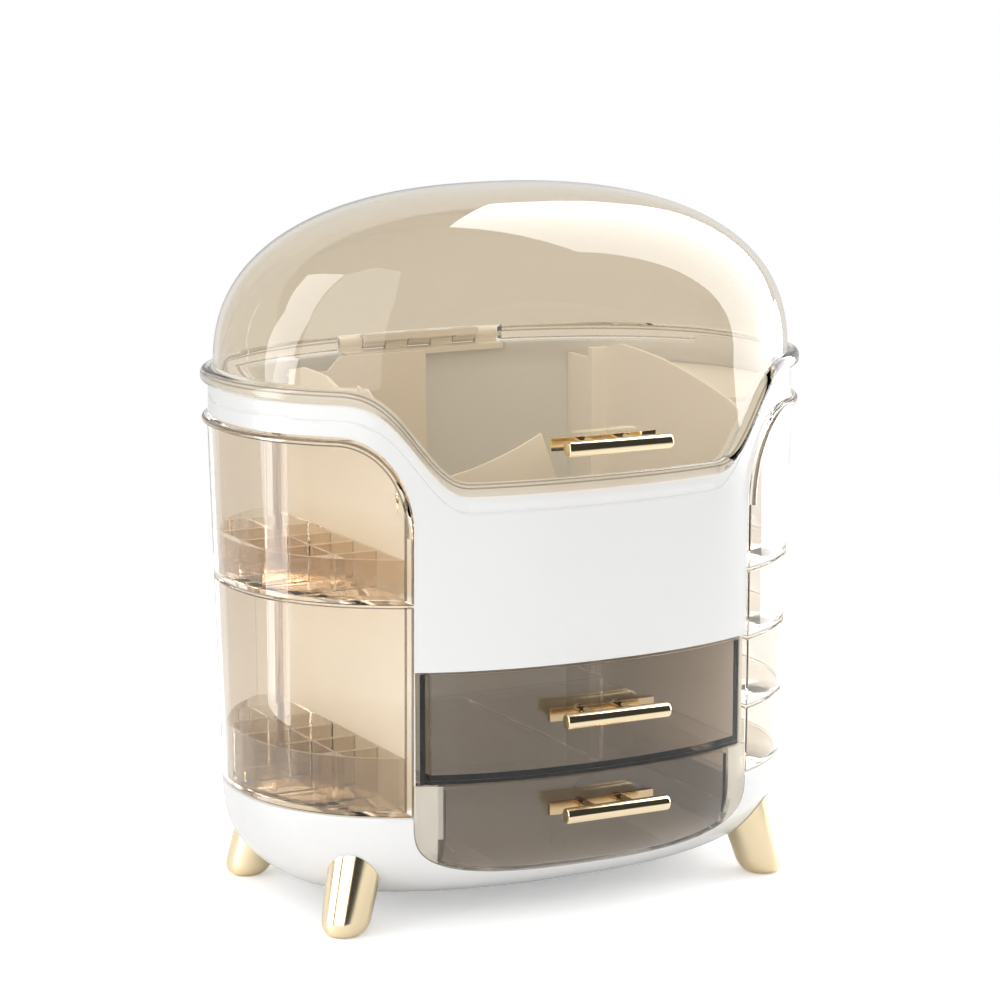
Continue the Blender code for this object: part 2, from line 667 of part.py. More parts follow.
def make_tower_sides():
    """The well's side walls, which step in at the rear to leave room for the pivot rods."""
    outer = TOWER_OUTER_X
    inner = TOWER_OUTER_X - TOWER_WALL
    front_y = tower_front_y()
    back_y = tower_back_y()
    lip_y = front_y + TOWER_LIP_LENGTH
    span = TOWER_WAVE_HIGH_Z - TOWER_WAVE_LOW_Z
    top = TOWER_WAVE_HIGH_Z + CUT_SPARE
    for name, side in (("tower_side_left", -1), ("tower_side_right", 1)):
        outline = [
            (inner, front_y),
            (outer, front_y),
            (outer, TOWER_STEP_Y),
            (TOWER_STEP_X, TOWER_STEP_Y),
            (TOWER_STEP_X, back_y),
            (TOWER_STEP_X - TOWER_WALL, back_y),
            (TOWER_STEP_X - TOWER_WALL, TOWER_STEP_Y - TOWER_WALL),
            (inner, TOWER_STEP_Y - TOWER_WALL),
        ]
        outline = [(side * x, y) for x, y in outline]
        wall = prism(name, "Z", outline, RIM_Z + SEAT_GAP, TOWER_WAVE_HIGH_Z + 3.0, "white_plastic")
        wave = [(front_y - CUT_SPARE, TOWER_LIP_Z), (lip_y, TOWER_LIP_Z)]
        for i in range(12):
            share = i / 11
            y = lip_y + share * (TOWER_WAVE_END_Y - lip_y)
            z = TOWER_WAVE_LOW_Z + span * math.sin(share * math.pi / 2) ** TOWER_WAVE_POWER
            wave.append((y, z))
        wave += [(TOWER_STEP_Y - TOWER_WALL, TOWER_REAR_Z), (TOWER_STEP_Y + 2.0, TOWER_REAR_Z)]
        wave += [(TOWER_STEP_Y + 2.0, TOWER_BACK_Z), (back_y + CUT_SPARE, TOWER_BACK_Z)]
        wave += [(back_y + CUT_SPARE, top), (front_y - CUT_SPARE, top)]
        xs = sorted((side * (TOWER_STEP_X - CUT_SPARE), side * (outer + CUT_SPARE)))
        boolean(wall, prism(f"cut_{name}_wave", "X", wave, *xs))


def make_well_floor():
    """The well's floor, from the front panel to the back panel between the tower sides."""
    front_x = TOWER_OUTER_X - TOWER_WALL - SEAT_GAP
    rear_x = TOWER_STEP_X - TOWER_WALL - SEAT_GAP
    half_width = side_half_width(PANEL_LOW_Z, SHELL_LOW_HALF_WIDTH, SHELL_HALF_WIDTH)
    half_width -= SHELL_WALL + SEAT_GAP
    half_depth = SHELL_HALF_DEPTH - SHELL_WALL - SEAT_GAP
    front = angle_at(front_x, half_width)
    rear = angle_at(rear_x, half_width)
    outline = oval_arc(math.pi + front, 2 * math.pi - front, half_width, half_depth, 17)
    outline += [(front_x, WELL_BACK_Y), (rear_x, WELL_BACK_Y)]
    outline += oval_arc(rear, math.pi - rear, half_width, half_depth, 17)
    outline += [(-rear_x, WELL_BACK_Y), (-front_x, WELL_BACK_Y)]
    low = PANEL_LOW_Z + SEAT_GAP
    prism("well_floor", "Z", outline, low, low + WELL_FLOOR_THICK, "white_plastic")


def make_well_dividers():
    floor_z = PANEL_LOW_Z + 2 * SEAT_GAP + WELL_FLOOR_THICK
    left_x = -(TOWER_OUTER_X - TOWER_WALL - SEAT_GAP)
    low_top = REAR_DIVIDER_TOP_Z - REAR_DIVIDER_STEP
    rear = [
        (left_x, floor_z),
        (REAR_DIVIDER_EDGE_X, floor_z),
        (REAR_DIVIDER_EDGE_X, REAR_DIVIDER_TOP_Z),
        (REAR_DIVIDER_STEP_X, REAR_DIVIDER_TOP_Z),
        (REAR_DIVIDER_STEP_X - REAR_DIVIDER_STEP, low_top),
        (left_x, low_top),
    ]
    prism("well_divider_rear", "Y", rear, WELL_BACK_Y - DIVIDER_THICK, WELL_BACK_Y, "cream_plastic")
    front = [
        (left_x, floor_z),
        (FRONT_DIVIDER_FOOT_X, floor_z),
        (FRONT_DIVIDER_BEND_X, FRONT_DIVIDER_BEND_Z),
        (FRONT_DIVIDER_PEAK_X, FRONT_DIVIDER_PEAK_Z),
    ]
    for i in range(1, 7):
        share = i / 6
        x = FRONT_DIVIDER_PEAK_X + share * (left_x - FRONT_DIVIDER_PEAK_X)
        front.append((x, FRONT_DIVIDER_PEAK_Z - FRONT_DIVIDER_SAG * (1 - (1 - share) ** 2)))
    y = FRONT_DIVIDER_Y
    prism("well_divider_front", "Y", front, y, y + DIVIDER_THICK, "cream_plastic")


def make_bay_floor():
    """The floor that the lower drawer slides on, inside the bowl."""
    top = RIM_Z - OPENING_DROP + BAY_FLOOR_RISE
    low = top - BAY_FLOOR_THICK
    half_width, half_depth = bowl_ring(low, BOWL_WALL + 2 * SEAT_GAP)
    edge = angle_at(CHEEK_OUTER_X, half_width)
    outline = oval_arc(math.pi + edge, 2 * math.pi - edge, half_width, half_depth, 17)
    outline += oval_arc(edge, math.pi - edge, half_width, half_depth, 17)
    prism("bay_floor", "Z", outline, low, top, "white_plastic")


def make_cheeks():
    low_front = -RIM_HALF_DEPTH + CHEEK_FROM_FRONT
    for name, side in (("cheek_left", -1), ("cheek_right", 1)):
        front = -oval_y(CHEEK_OUTER_X, RIM_HALF_WIDTH, RIM_HALF_DEPTH) + CHEEK_BEHIND_FACE
        step = LOWER_DRAWER_TOP_Z + EDGE_GAP
        outline = [
            (low_front, CHEEK_LOW_Z),
            (WELL_BACK_Y, CHEEK_LOW_Z),
            (WELL_BACK_Y, CHEEK_TOP_Z),
            (front, CHEEK_TOP_Z),
            (front, step),
            (low_front, step),
        ]
        xs = sorted((side * CHEEK_OUTER_X, side * (CHEEK_OUTER_X - CHEEK_THICK)))
        prism(name, "X", outline, *xs, "smoked_clear")


def front_outline(half_span, inset, back_y, points=15):
    """A drawer's plan: the front follows the oval `inset` behind its surface."""
    half_width = RIM_HALF_WIDTH + DRAWER_FACE_OUT - inset
    edge = angle_at(half_span, half_width)
    outline = oval_arc(math.pi + edge, 2 * math.pi - edge, half_width, RIM_HALF_DEPTH - inset, points)
    return outline + [(half_span, back_y), (-half_span, back_y)]


def make_shelf():
    half_span = CHEEK_OUTER_X - CHEEK_THICK - SEAT_GAP
    outline = front_outline(half_span, SHELF_BEHIND_FACE, WELL_BACK_Y)
    prism("drawer_shelf", "Z", outline, SHELF_LOW_Z, SHELF_LOW_Z + SHELF_THICK, "smoked_clear")


def cut_screw_holes(piece, label, z):
    """Two clearance holes through a wall or plate behind a handle's posts."""
    bm = bmesh.new()
    for side in (-1, 1):
        radius = SCREW_RADIUS + SCREW_GAP
        profile = [(radius, -CUT_Y), (radius, -RIM_HALF_DEPTH + SCREW_HOLE_IN)]
        add_turned(bm, "Y", side * POST_SPACING / 2, z, profile, 8)
    return boolean(piece, place(f"cut_{label}_holes", bm))


def surface_strip(name, z0, z1, offset_front, offset_back, half_width, half_depth, stuff, pivot):
    """A short strip that follows the oval's front, between two distances outside it."""
    half_span = PLATE_LENGTH / 2
    outline = []
    for offset, order in ((offset_front, 1), (offset_back, -1)):
        points = [half_span * (i - 4) / 4 for i in range(9)][::order]
        for x in points:
            outline.append((x, -oval_y(x, half_width + offset, half_depth + offset)))
    return prism(name, "Z", outline, z0, z1, stuff, pivot)


def make_handle(owner, z, half_width, half_depth, wall, pivot):
    """A bar on two posts, its curved back plate, and two screws from inside the wall."""
    surface = -oval_y(POST_SPACING / 2, half_width, half_depth)
    plate_back = SEAT_GAP
    plate = surface_strip(
        f"{owner}_handle_plate", z - PLATE_HEIGHT / 2, z + PLATE_HEIGHT / 2,
        plate_back + PLATE_THICK, plate_back, half_width, half_depth, "gold", pivot,
    )
    cut_screw_holes(plate, f"{owner}_plate", z)
    post_end = surface - plate_back - PLATE_THICK - SEAT_GAP
    round_end = HANDLE_END_ROUND
    half = HANDLE_LENGTH / 2
    bar = turned(
        f"{owner}_handle_bar", "X", HANDLE_Y, z,
        [
            (HANDLE_RADIUS - round_end, -half),
            (HANDLE_RADIUS, -half + round_end),
            (HANDLE_RADIUS, half - round_end),
            (HANDLE_RADIUS - round_end, half),
        ],
        16, "gold", pivot,
    )
    posts = bmesh.new()
    bores = bmesh.new()
    for side in (-1, 1):
        x = side * POST_SPACING / 2
        add_turned(posts, "Y", x, z, [(POST_RADIUS, HANDLE_Y), (POST_RADIUS, post_end)], 12)
        radius = SCREW_RADIUS + SCREW_GAP
        profile = [(radius, post_end - SCREW_DEPTH_IN_POST - 1.0), (radius, post_end + 5.0)]
        add_turned(bores, "Y", x, z, profile, 8)
    boolean(bar, place(f"join_{owner}_posts", posts), "UNION")
    boolean(bar, place(f"cut_{owner}_bores", bores))
    head = surface + wall + 2 * SEAT_GAP
    for label, side in (("left", -1), ("right", 1)):
        turned(
            f"{owner}_handle_screw_{label}", "Y", side * POST_SPACING / 2, z,
            [
                (SCREW_RADIUS, post_end - SCREW_DEPTH_IN_POST),
                (SCREW_RADIUS, head),
                (SCREW_HEAD_RADIUS, head),
                (SCREW_HEAD_RADIUS, head + SCREW_HEAD_THICK),
            ],
            8, "steel", pivot,
        )


def make_upper_drawer():
    pivot = empty("upper_drawer_slide", (0, 0, 0), ORGANIZER)
    low = UPPER_DRAWER_LOW_Z
    top = UPPER_DRAWER_TOP_Z
    floor = low + DRAWER_FLOOR
    span = UPPER_DRAWER_HALF_WIDTH
    outer = front_outline(span, 0.0, DRAWER_BACK_Y)
    inner = front_outline(span - DRAWER_WALL, DRAWER_FRONT_WALL, DRAWER_BACK_Y - DRAWER_WALL)
    rings = [
        [(x, y, low) for x, y in outer],
        [(x, y, top) for x, y in outer],
        [(x, y, top) for x, y in inner],
        [(x, y, floor) for x, y in inner],
    ]
    tub = loft("upper_drawer_tub", rings, "smoked_clear", pivot)
    cut_screw_holes(tub, "upper_drawer", UPPER_HANDLE_Z)
    half_width = RIM_HALF_WIDTH + DRAWER_FACE_OUT
    make_handle(
        "upper_drawer", UPPER_HANDLE_Z, half_width, RIM_HALF_DEPTH, DRAWER_FRONT_WALL, pivot
    )
    front = -oval_y(UPPER_DIVIDER_X, half_width, RIM_HALF_DEPTH) + DRAWER_FRONT_WALL + SEAT_GAP
    box(
        "upper_drawer_divider",
        (UPPER_DIVIDER_X - DIVIDER_THICK / 2, UPPER_DIVIDER_X + DIVIDER_THICK / 2),
        (front, DRAWER_BACK_Y - DRAWER_WALL - SEAT_GAP),
        (floor + SEAT_GAP, floor + SEAT_GAP + UPPER_DIVIDER_HEIGHT),
        "smoked_clear", pivot,
    )


def make_lower_drawer():
    """The front panel is a slice of the bowl's own form, and the tub behind it is straight."""
    pivot = empty("lower_drawer_slide", (0, 0, 0), ORGANIZER)
    top = LOWER_DRAWER_TOP_Z
    outside = bowl_solid("fit_drawer_outside", 0.0, top)
    inside = bowl_solid("fit_drawer_inside", DRAWER_FRONT_WALL, top + CUT_SPARE)
    middle = bowl_solid("fit_drawer_middle", DRAWER_FRONT_WALL / 2, top + CUT_SPARE)
    panel_back = -RIM_HALF_DEPTH + FRONT_CUT_IN
    panel = prism("join_drawer_panel", "Y", opening_outline(EDGE_GAP), -CUT_Y, panel_back)
    boolean(panel, outside, "INTERSECT")
    boolean(panel, inside)
    half = LOWER_TUB_HALF_WIDTH
    outline = opening_outline(TUB_GAP, half)
    cavity_outline = opening_outline(TUB_GAP + DRAWER_WALL, half - DRAWER_WALL)
    tub = prism("lower_drawer_tub", "Y", outline, 5.0 - CUT_Y, DRAWER_BACK_Y, "smoked_clear", pivot)
    cavity = prism("cut_drawer_cavity", "Y", cavity_outline, -CUT_Y, DRAWER_BACK_Y - DRAWER_WALL)
    boolean(tub, cavity)
    boolean(tub, middle, "INTERSECT")
    high = RIM_Z + 3 * CUT_SPARE
    above = box("cut_tub_top", (-CUT_X, CUT_X), (-2 * CUT_Y, CUT_Y), (LOWER_TUB_TOP_Z, high))
    boolean(tub, above)
    boolean(tub, panel, "UNION")
    cut_screw_holes(tub, "lower_drawer", LOWER_HANDLE_Z)
    make_handle(
        "lower_drawer", LOWER_HANDLE_Z, RIM_HALF_WIDTH, RIM_HALF_DEPTH, DRAWER_FRONT_WALL, pivot
    )


def bin_half_width(z):
    return side_half_width(z, BIN_LOW_HALF_WIDTH, BIN_TOP_HALF_WIDTH)


def meet_oval(x, y, dx, dy, half_width, half_depth):
    """Where a line from a point inside leaves the oval."""
    near = 0.0
    far = 2 * half_width
    for _ in range(60):
        middle = (near + far) / 2
        px = x + dx * middle
        py = y + dy * middle
        if (abs(px) / half_width) ** PLAN_POWER + (abs(py) / half_depth) ** PLAN_POWER > 1:
            far = middle
        else:
            near = middle
    return x + dx * near, y + dy * near


def bin_outline(side, z, inset):
    """A bin's plan: inner wall, oval outer wall and a slanted rear wall beside the pivot."""
    half_width = bin_half_width(z) - inset
    half_depth = BIN_HALF_DEPTH - inset
    slant_x = BIN_REAR_X - BIN_INNER_X
    slant_y = oval_y(BIN_REAR_X, BIN_TOP_HALF_WIDTH, BIN_HALF_DEPTH) - BIN_REAR_INNER_Y
    length = math.hypot(slant_x, slant_y)
    dx = slant_x / length
    dy = slant_y / length
    inner_x = BIN_INNER_X + inset
    inner_y = BIN_REAR_INNER_Y + (dy * inset - inset) / dx
    rear_x, rear_y = meet_oval(inner_x, inner_y, dx, dy, half_width, half_depth)
    start = -angle_at(inner_x, half_width)
    end = angle_at(rear_x, half_width)
    outline = oval_arc(start, end, half_width, half_depth, 18)
    outline.append((inner_x, inner_y))
    return [(side * x, y) for x, y in outline]


def corner_cutter(name, side):
    """What rounds a top bin's upper front corner."""
    radius_x = BIN_CORNER_RADIUS_X + BIN_CORNER_EASE
    radius_z = BIN_CORNER_RADIUS_Z + BIN_CORNER_EASE
    points = []
    for i in range(14):
        angle = math.pi / 2 * i / 13
        x = BIN_CORNER_X - radius_x * math.cos(angle)
        points.append((x, BIN_CORNER_Z + radius_z * math.sin(angle)))
    inner = BIN_INNER_X - CUT_SPARE
    high = BIN_TOP_Z + CUT_SPARE
    points += [(BIN_CORNER_X, high), (inner, high), (inner, BIN_CORNER_Z)]
    points = [(side * x, z) for x, z in points]
    return prism(name, "Y", points, -CUT_Y, -BIN_HALF_DEPTH + BIN_CORNER_DEPTH)


def bead_path(side):
    """Points and outward directions of a top bin's bead: round the oval, then down the corner."""
    half_width = BIN_TOP_HALF_WIDTH
    start = angle_at(BIN_REAR_X + BEAD_END_IN, half_width)
    end = -angle_at(BIN_CORNER_X, half_width)
    rim_z = BIN_TOP_Z - BEAD_HEIGHT / 2 - BEAD_BELOW_TOP
    spots = []
    for i in range(17):
        angle = start + (end - start) * i / 16
        spots.append((*oval_point(angle, half_width, BIN_HALF_DEPTH), rim_z))
    for i in range(1, 9):
        turn = math.pi / 2 * i / 8
        x = BIN_CORNER_X - (BIN_CORNER_RADIUS_X - BEAD_HEIGHT / 2) * math.sin(turn)
        z = BIN_CORNER_Z + (rim_z - BIN_CORNER_Z) * math.cos(turn)
        spots.append((x, -oval_y(x, bin_half_width(z), BIN_HALF_DEPTH), z))
    path = []
    for x, y, z in spots:
        out_x = math.copysign(abs(x / half_width) ** (PLAN_POWER - 1) / half_width, x)
        out_y = math.copysign(abs(y / BIN_HALF_DEPTH) ** (PLAN_POWER - 1) / BIN_HALF_DEPTH, y)
        length = math.hypot(out_x, out_y)
        path.append(((side * x, y, z), (side * out_x / length, out_y / length, 0.0)))
    return path


def cross(a, b):
    return (a[1] * b[2] - a[2] * b[1], a[2] * b[0] - a[0] * b[2], a[0] * b[1] - a[1] * b[0])


def unit(vector):
    length = math.sqrt(sum(value * value for value in vector))
    return tuple(value / length for value in vector)


def make_bead(name, side):
    path = bead_path(side)
    sections = []
    for i, (spot, out) in enumerate(path):
        before = path[max(i - 1, 0)][0]
        after = path[min(i + 1, len(path) - 1)][0]
        forward = unit([b - a for a, b in zip(before, after)])
        across = unit(cross(forward, out))
        ring = []
        for outward, sideways in ((-BEAD_IN, -0.5), (BEAD_OUT, -0.4), (BEAD_OUT, 0.4), (-BEAD_IN, 0.5)):
            offset = sideways * BEAD_HEIGHT
            ring.append(tuple(s + o * outward + a * offset for s, o, a in zip(spot, out, across)))
        sections.append(ring)
    return loft(name, sections)


def make_bin(name, side, low, high, is_top):
    """One swinging bin: a tub on the oval with a barrel round the pivot rod."""
    pivot = empty(f"{name}_pivot", (side * ROD_X, ROD_Y, 0), ORGANIZER)
    rings = []
    for z, inset in (
        (low, 0.0), (high, 0.0), (high, BIN_WALL), (low + BIN_FLOOR, BIN_WALL),
    ):
        rings.append([(x, y, z) for x, y in bin_outline(side, z, inset)])
    tub = loft(name, rings, "amber_clear", pivot)
    if is_top:
        boolean(tub, corner_cutter(f"cut_{name}_corner", side))
        boolean(tub, make_bead(f"join_{name}_bead", side), "UNION")
    lowest = low < BIN_LOW_Z + BIN_GAP
    barrel_low = low + COLLAR_DEPTH if lowest else low + BARREL_EASE
    profile = [(BARREL_RADIUS, barrel_low), (BARREL_RADIUS, high - BARREL_EASE)]
    barrel = turned(f"join_{name}_barrel", "Z", side * ROD_X, ROD_Y, profile, ROD_POINTS)
    boolean(tub, barrel, "UNION")
    radius = (ROD_RADIUS + ROD_GAP) / math.cos(math.pi / ROD_POINTS)
    profile = [(radius, low - CUT_SPARE), (radius, high + CUT_SPARE)]
    boolean(tub, turned(f"cut_{name}_bore", "Z", side * ROD_X, ROD_Y, profile, ROD_POINTS))
    if lowest:
        collar = ROD_COLLAR_RADIUS + COLLAR_GAP
        profile = [(collar, low - CUT_SPARE), (collar, barrel_low)]
        boolean(tub, turned(f"cut_{name}_collar", "Z", side * ROD_X, ROD_Y, profile, ROD_POINTS))
    return pivot


def make_grid(name, side, low, height, pivot):
    """A lipstick grid that drops into a bin."""
    inset = BIN_WALL + EDGE_GAP
    outline = bin_outline(side, low, inset)
    block = prism(name, "Z", outline, low, low + height, "amber_clear", pivot)
    half = GRID_CELL / 2
    top = low + height
    bm = bmesh.new()
    for x in (GRID_INNER_COLUMN_X, GRID_OUTER_COLUMN_X):
        for y in GRID_ROWS:
            if x == GRID_OUTER_COLUMN_X and y == GRID_ROWS[0]:
                continue
            sides = sorted((side * (x - half), side * (x + half)))
            cell = rectangle(*sides, y - half, y + half)
            add_prism(bm, "Z", cell, low + GRID_BASE, top + CUT_SPARE)
    cells = place(f"cut_{name}_cells", bm)
    inner = bin_outline(side, low, inset + GRID_WALL)
    fit = prism(f"fit_{name}_cells", "Z", inner, low - CUT_SPARE, top + 2 * CUT_SPARE)
    boolean(cells, fit, "INTERSECT")
    boolean(block, cells)


def make_bins():
    for label, side, splits in (("left", -1, LEFT_SPLITS), ("right", 1, RIGHT_SPLITS)):
        levels = [BIN_LOW_Z - BIN_GAP / 2, *splits, BIN_TOP_Z + BIN_GAP / 2]
        for i, (below, above) in enumerate(zip(levels, levels[1:])):
            name = f"{label}_bin_{i + 1}"
            low = below + BIN_GAP / 2
            pivot = make_bin(name, side, low, above - BIN_GAP / 2, i == len(levels) - 2)
            if side < 0:
                height = LOWER_GRID_HEIGHT if i == 0 else UPPER_GRID_HEIGHT
                floor = low + BIN_FLOOR + SEAT_GAP
                make_grid(f"{label}_grid_{i + 1}", side, floor, height, pivot)


def make_pivot_rods():
    collar_top = BIN_LOW_Z + COLLAR_DEPTH - SEAT_GAP
    for name, side in (("pivot_rod_left", -1), ("pivot_rod_right", 1)):
        profile = [
            (ROD_RADIUS, RIM_Z - DECK_THICK + 0.1),
            (ROD_RADIUS, RIM_Z + SEAT_GAP),
            (ROD_COLLAR_RADIUS, RIM_Z + SEAT_GAP),
            (ROD_COLLAR_RADIUS, collar_top),
            (ROD_RADIUS, collar_top),
            (ROD_RADIUS, BAND_LOW_Z + SHOULDER_THICK + SEAT_GAP),
        ]
        turned(name, "Z", side * ROD_X, ROD_Y, profile, ROD_POINTS, "steel")


def make_feet():
    under = bowl_solid("fit_feet", -SEAT_GAP, RIM_Z + CUT_SPARE)
    corners = (
        ("foot_front_left", -1, -1), ("foot_front_right", 1, -1),
        ("foot_back_left", -1, 1), ("foot_back_right", 1, 1),
    )
    for name, side, end in corners:
        rings = []
        levels = [FOOT_ROUND * share for share in (0.0, 0.1, 0.275, 0.575, 1.0)] + [FOOT_CUT_Z]
        for z in levels:
            lean = z / FOOT_TOP_Z
            x = side * (FOOT_X - FOOT_SPLAY_X * lean)
            y = end * (FOOT_Y - FOOT_SPLAY_Y * lean)
            if z < FOOT_ROUND:
                drop = 1 - z / FOOT_ROUND
                radius = FOOT_PAD_RADIUS + (FOOT_LOW_RADIUS - FOOT_PAD_RADIUS) * math.sqrt(1 - drop**2)
            else:
                share = (z - FOOT_ROUND) / (FOOT_TOP_Z - FOOT_ROUND)
                radius = FOOT_LOW_RADIUS + (FOOT_TOP_RADIUS - FOOT_LOW_RADIUS) * share
            rings.append([(a, b, z) for a, b in circle(x, y, radius, 18)])
        boolean(loft(name, rings, "gold"), under)


def lid_ring(half_width, half_depth, z_of):
    return [(*oval_point(angle, half_width, half_depth), z_of(angle)) for angle in oval_angles()]


def dome_rings(half_width, half_depth, height, first_z):
    rings = []
    first = math.asin(((first_z - DOME_BASE_Z) / height) ** (DOME_POWER / 2))
    last = math.radians(DOME_LAST_RING)
    for i in range(DOME_RINGS):
        angle = first + (last - first) * i / (DOME_RINGS - 1)
        scale = math.cos(angle) ** (2 / DOME_POWER)
        z = DOME_BASE_Z + height * math.sin(angle) ** (2 / DOME_POWER)
        rings.append([(x, y, z) for x, y in oval(half_width * scale, half_depth * scale)])
    rings[-1] = [(x, y, DOME_BASE_Z + height) for x, y, _ in rings[-1]]
    return rings


def make_lid(pivot):
    def edge(angle):
        return LID_EDGE_Z - notch_dip(angle)

    wall = SKIRT_WALL
    bead_top = LID_BEAD_HEIGHT
    rings = dome_rings(DOME_HALF_WIDTH, DOME_HALF_DEPTH, DOME_TOP_Z - DOME_BASE_Z, SKIRT_TOP_Z)[::-1]
    shoulder = BEAD_SIDE_OUT - BEAD_CHAMFER
    bead = (
        (0.0, bead_top + BEAD_CROWN),
        (shoulder, bead_top),
        (BEAD_SIDE_OUT, bead_top - LID_BEAD_ROUND),
        (BEAD_SIDE_OUT, LID_BEAD_ROUND),
        (shoulder, 0.0),
    )
    for out, lift in bead:
        front_out = BEAD_FRONT_OUT * out / BEAD_SIDE_OUT
        rings.append(
            lid_ring(
                SKIRT_HALF_WIDTH + out, SKIRT_HALF_DEPTH + front_out,
                lambda angle, lift=lift: edge(angle) + lift,
            )
        )
    rings.append(lid_ring(SKIRT_HALF_WIDTH - wall, SKIRT_HALF_DEPTH - wall, edge))
    inner_height = DOME_TOP_Z - DOME_BASE_Z - wall
    rings += dome_rings(DOME_HALF_WIDTH - wall, DOME_HALF_DEPTH - wall, inner_height, SKIRT_TOP_Z)
    lid = loft("lid_dome", rings, "amber_clear", pivot)
    half = HINGE_SEAT_HALF_WIDTH
    ys = (SKIRT_HALF_DEPTH - 15.5, CUT_Y)
    zs = (HINGE_SEAT_Z - CUT_SPARE, SKIRT_TOP_Z + SEAT_GAP)
    boolean(lid, box("cut_lid_hinge", (-half, half), ys, zs))
    cut_screw_holes(lid, "lid", LID_HANDLE_Z)
    make_handle("lid", LID_HANDLE_Z, SKIRT_HALF_WIDTH, SKIRT_HALF_DEPTH, wall, pivot)


def make_knuckles(name, spans, web_y, web_z, plate):
    """Hinge knuckles joined to their plate by webs, bored for the pin."""
    bm = bmesh.new()
    for low, high in spans:
        profile = [(KNUCKLE_RADIUS, low), (KNUCKLE_RADIUS, high)]
        add_turned(bm, "X", HINGE_Y, HINGE_Z, profile, KNUCKLE_POINTS)
    barrels = place(f"join_{name}_barrels", bm)
    bm = bmesh.new()
    for low, high in spans:
        add_prism(bm, "X", rectangle(*web_y, *web_z), low + WEB_EASE, high - WEB_EASE)
    webs = place(f"join_{name}_webs", bm)
    boolean(plate, webs, "UNION")
    boolean(plate, barrels, "UNION")
    radius = HINGE_PIN_RADIUS + ROD_GAP + 0.02
    profile = [(radius, -HINGE_HALF_WIDTH - CUT_SPARE), (radius, HINGE_HALF_WIDTH + CUT_SPARE)]
    bore = turned(f"cut_{name}_bore", "X", HINGE_Y, HINGE_Z, profile, KNUCKLE_POINTS)
    return boolean(plate, bore)


def knuckle_spans(first):
    """Every other knuckle of the row, with a gap to its neighbours."""
    spans = []
    for i in range(first, KNUCKLE_COUNT, 2):
        low = -HINGE_HALF_WIDTH + KNUCKLE_PITCH * i
        spans.append((low + KNUCKLE_GAP / 2, low + KNUCKLE_PITCH - KNUCKLE_GAP / 2))
    return spans


def make_hinge(pivot):
    half = HINGE_HALF_WIDTH - KNUCKLE_GAP / 2
    shelf_top = HINGE_Z - KNUCKLE_RADIUS - KNUCKLE_GAP
    base = box(
        "lid_hinge_base", (-half, half), (HINGE_BASE_Y, HINGE_Y), (HINGE_SEAT_Z + SEAT_GAP, shelf_top),
        "cream_plastic",
    )
    web_y = (HINGE_Y - KNUCKLE_RADIUS + WEB_OVERLAP, HINGE_Y - WEB_OVERLAP)
    web_z = (shelf_top - 1.0, HINGE_Z)
    make_knuckles("lid_hinge_base", knuckle_spans(0), web_y, web_z, base)
    lid_spans = knuckle_spans(1)
    xs = (lid_spans[0][0], lid_spans[-1][1])
    ys = (LID_LEAF_Y, LID_LEAF_Y + HINGE_PLATE_THICK)
    zs = (HINGE_Z + LID_LEAF_LIFT, SKIRT_TOP_Z - WEB_EASE / 2)
    leaf = box("lid_hinge_leaf", xs, ys, zs, "cream_plastic", pivot)
    web_y = (ys[1] - 1.0, HINGE_Y - WEB_OVERLAP)
    web_z = (HINGE_Z, SKIRT_TOP_Z - WEB_EASE)
    make_knuckles("lid_hinge_leaf", lid_spans, web_y, web_z, leaf)
    end = half + KNUCKLE_GAP
    turned(
        "lid_hinge_pin", "X", HINGE_Y, HINGE_Z,
        [
            (HINGE_PIN_HEAD, -end - HINGE_PIN_HEAD_THICK),
            (HINGE_PIN_HEAD, -end),
            (HINGE_PIN_RADIUS, -end),
            (HINGE_PIN_RADIUS, end + HINGE_PIN_END),
        ],
        KNUCKLE_POINTS, "steel",
    )


clear_scene()
ORGANIZER = empty("organizer", (0, BODY_Y, 0))
make_base_bowl()
make_decks()
make_shoulders()
make_body_shell()
make_tower_sides()
make_well_floor()
make_well_dividers()
make_bay_floor()
make_cheeks()
make_shelf()
make_upper_drawer()
make_lower_drawer()
make_bins()
make_pivot_rods()
make_feet()
LID_PIVOT = empty("lid_pivot", (0, HINGE_Y, HINGE_Z), ORGANIZER)
make_lid(LID_PIVOT)
make_hinge(LID_PIVOT)
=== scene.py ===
import math

import bmesh
import bpy
from mathutils import Matrix, Vector


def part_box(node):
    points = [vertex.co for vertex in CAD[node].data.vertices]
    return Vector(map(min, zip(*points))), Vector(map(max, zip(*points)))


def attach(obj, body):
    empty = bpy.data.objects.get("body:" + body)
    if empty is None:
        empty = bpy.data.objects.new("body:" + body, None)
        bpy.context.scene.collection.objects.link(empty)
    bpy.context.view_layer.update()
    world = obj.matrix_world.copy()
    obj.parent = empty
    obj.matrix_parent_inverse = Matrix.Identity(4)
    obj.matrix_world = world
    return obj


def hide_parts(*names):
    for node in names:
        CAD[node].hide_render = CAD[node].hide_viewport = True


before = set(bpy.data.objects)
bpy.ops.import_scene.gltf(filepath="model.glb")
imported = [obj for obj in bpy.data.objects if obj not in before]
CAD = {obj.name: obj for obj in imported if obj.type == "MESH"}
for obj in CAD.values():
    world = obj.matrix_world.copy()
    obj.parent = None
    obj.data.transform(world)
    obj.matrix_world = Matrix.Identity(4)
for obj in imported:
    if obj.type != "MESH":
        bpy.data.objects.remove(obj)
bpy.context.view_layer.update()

# Base bowl. One deep white moulding, oval in plan, that everything else stands on or slides in.
# Gloss ABS from an injection mould, with a faint orange-peel skin; its front is cut open for a drawer.
# Every main piece is the same oval, so one Geometry Nodes tree sweeps a wall section round it.

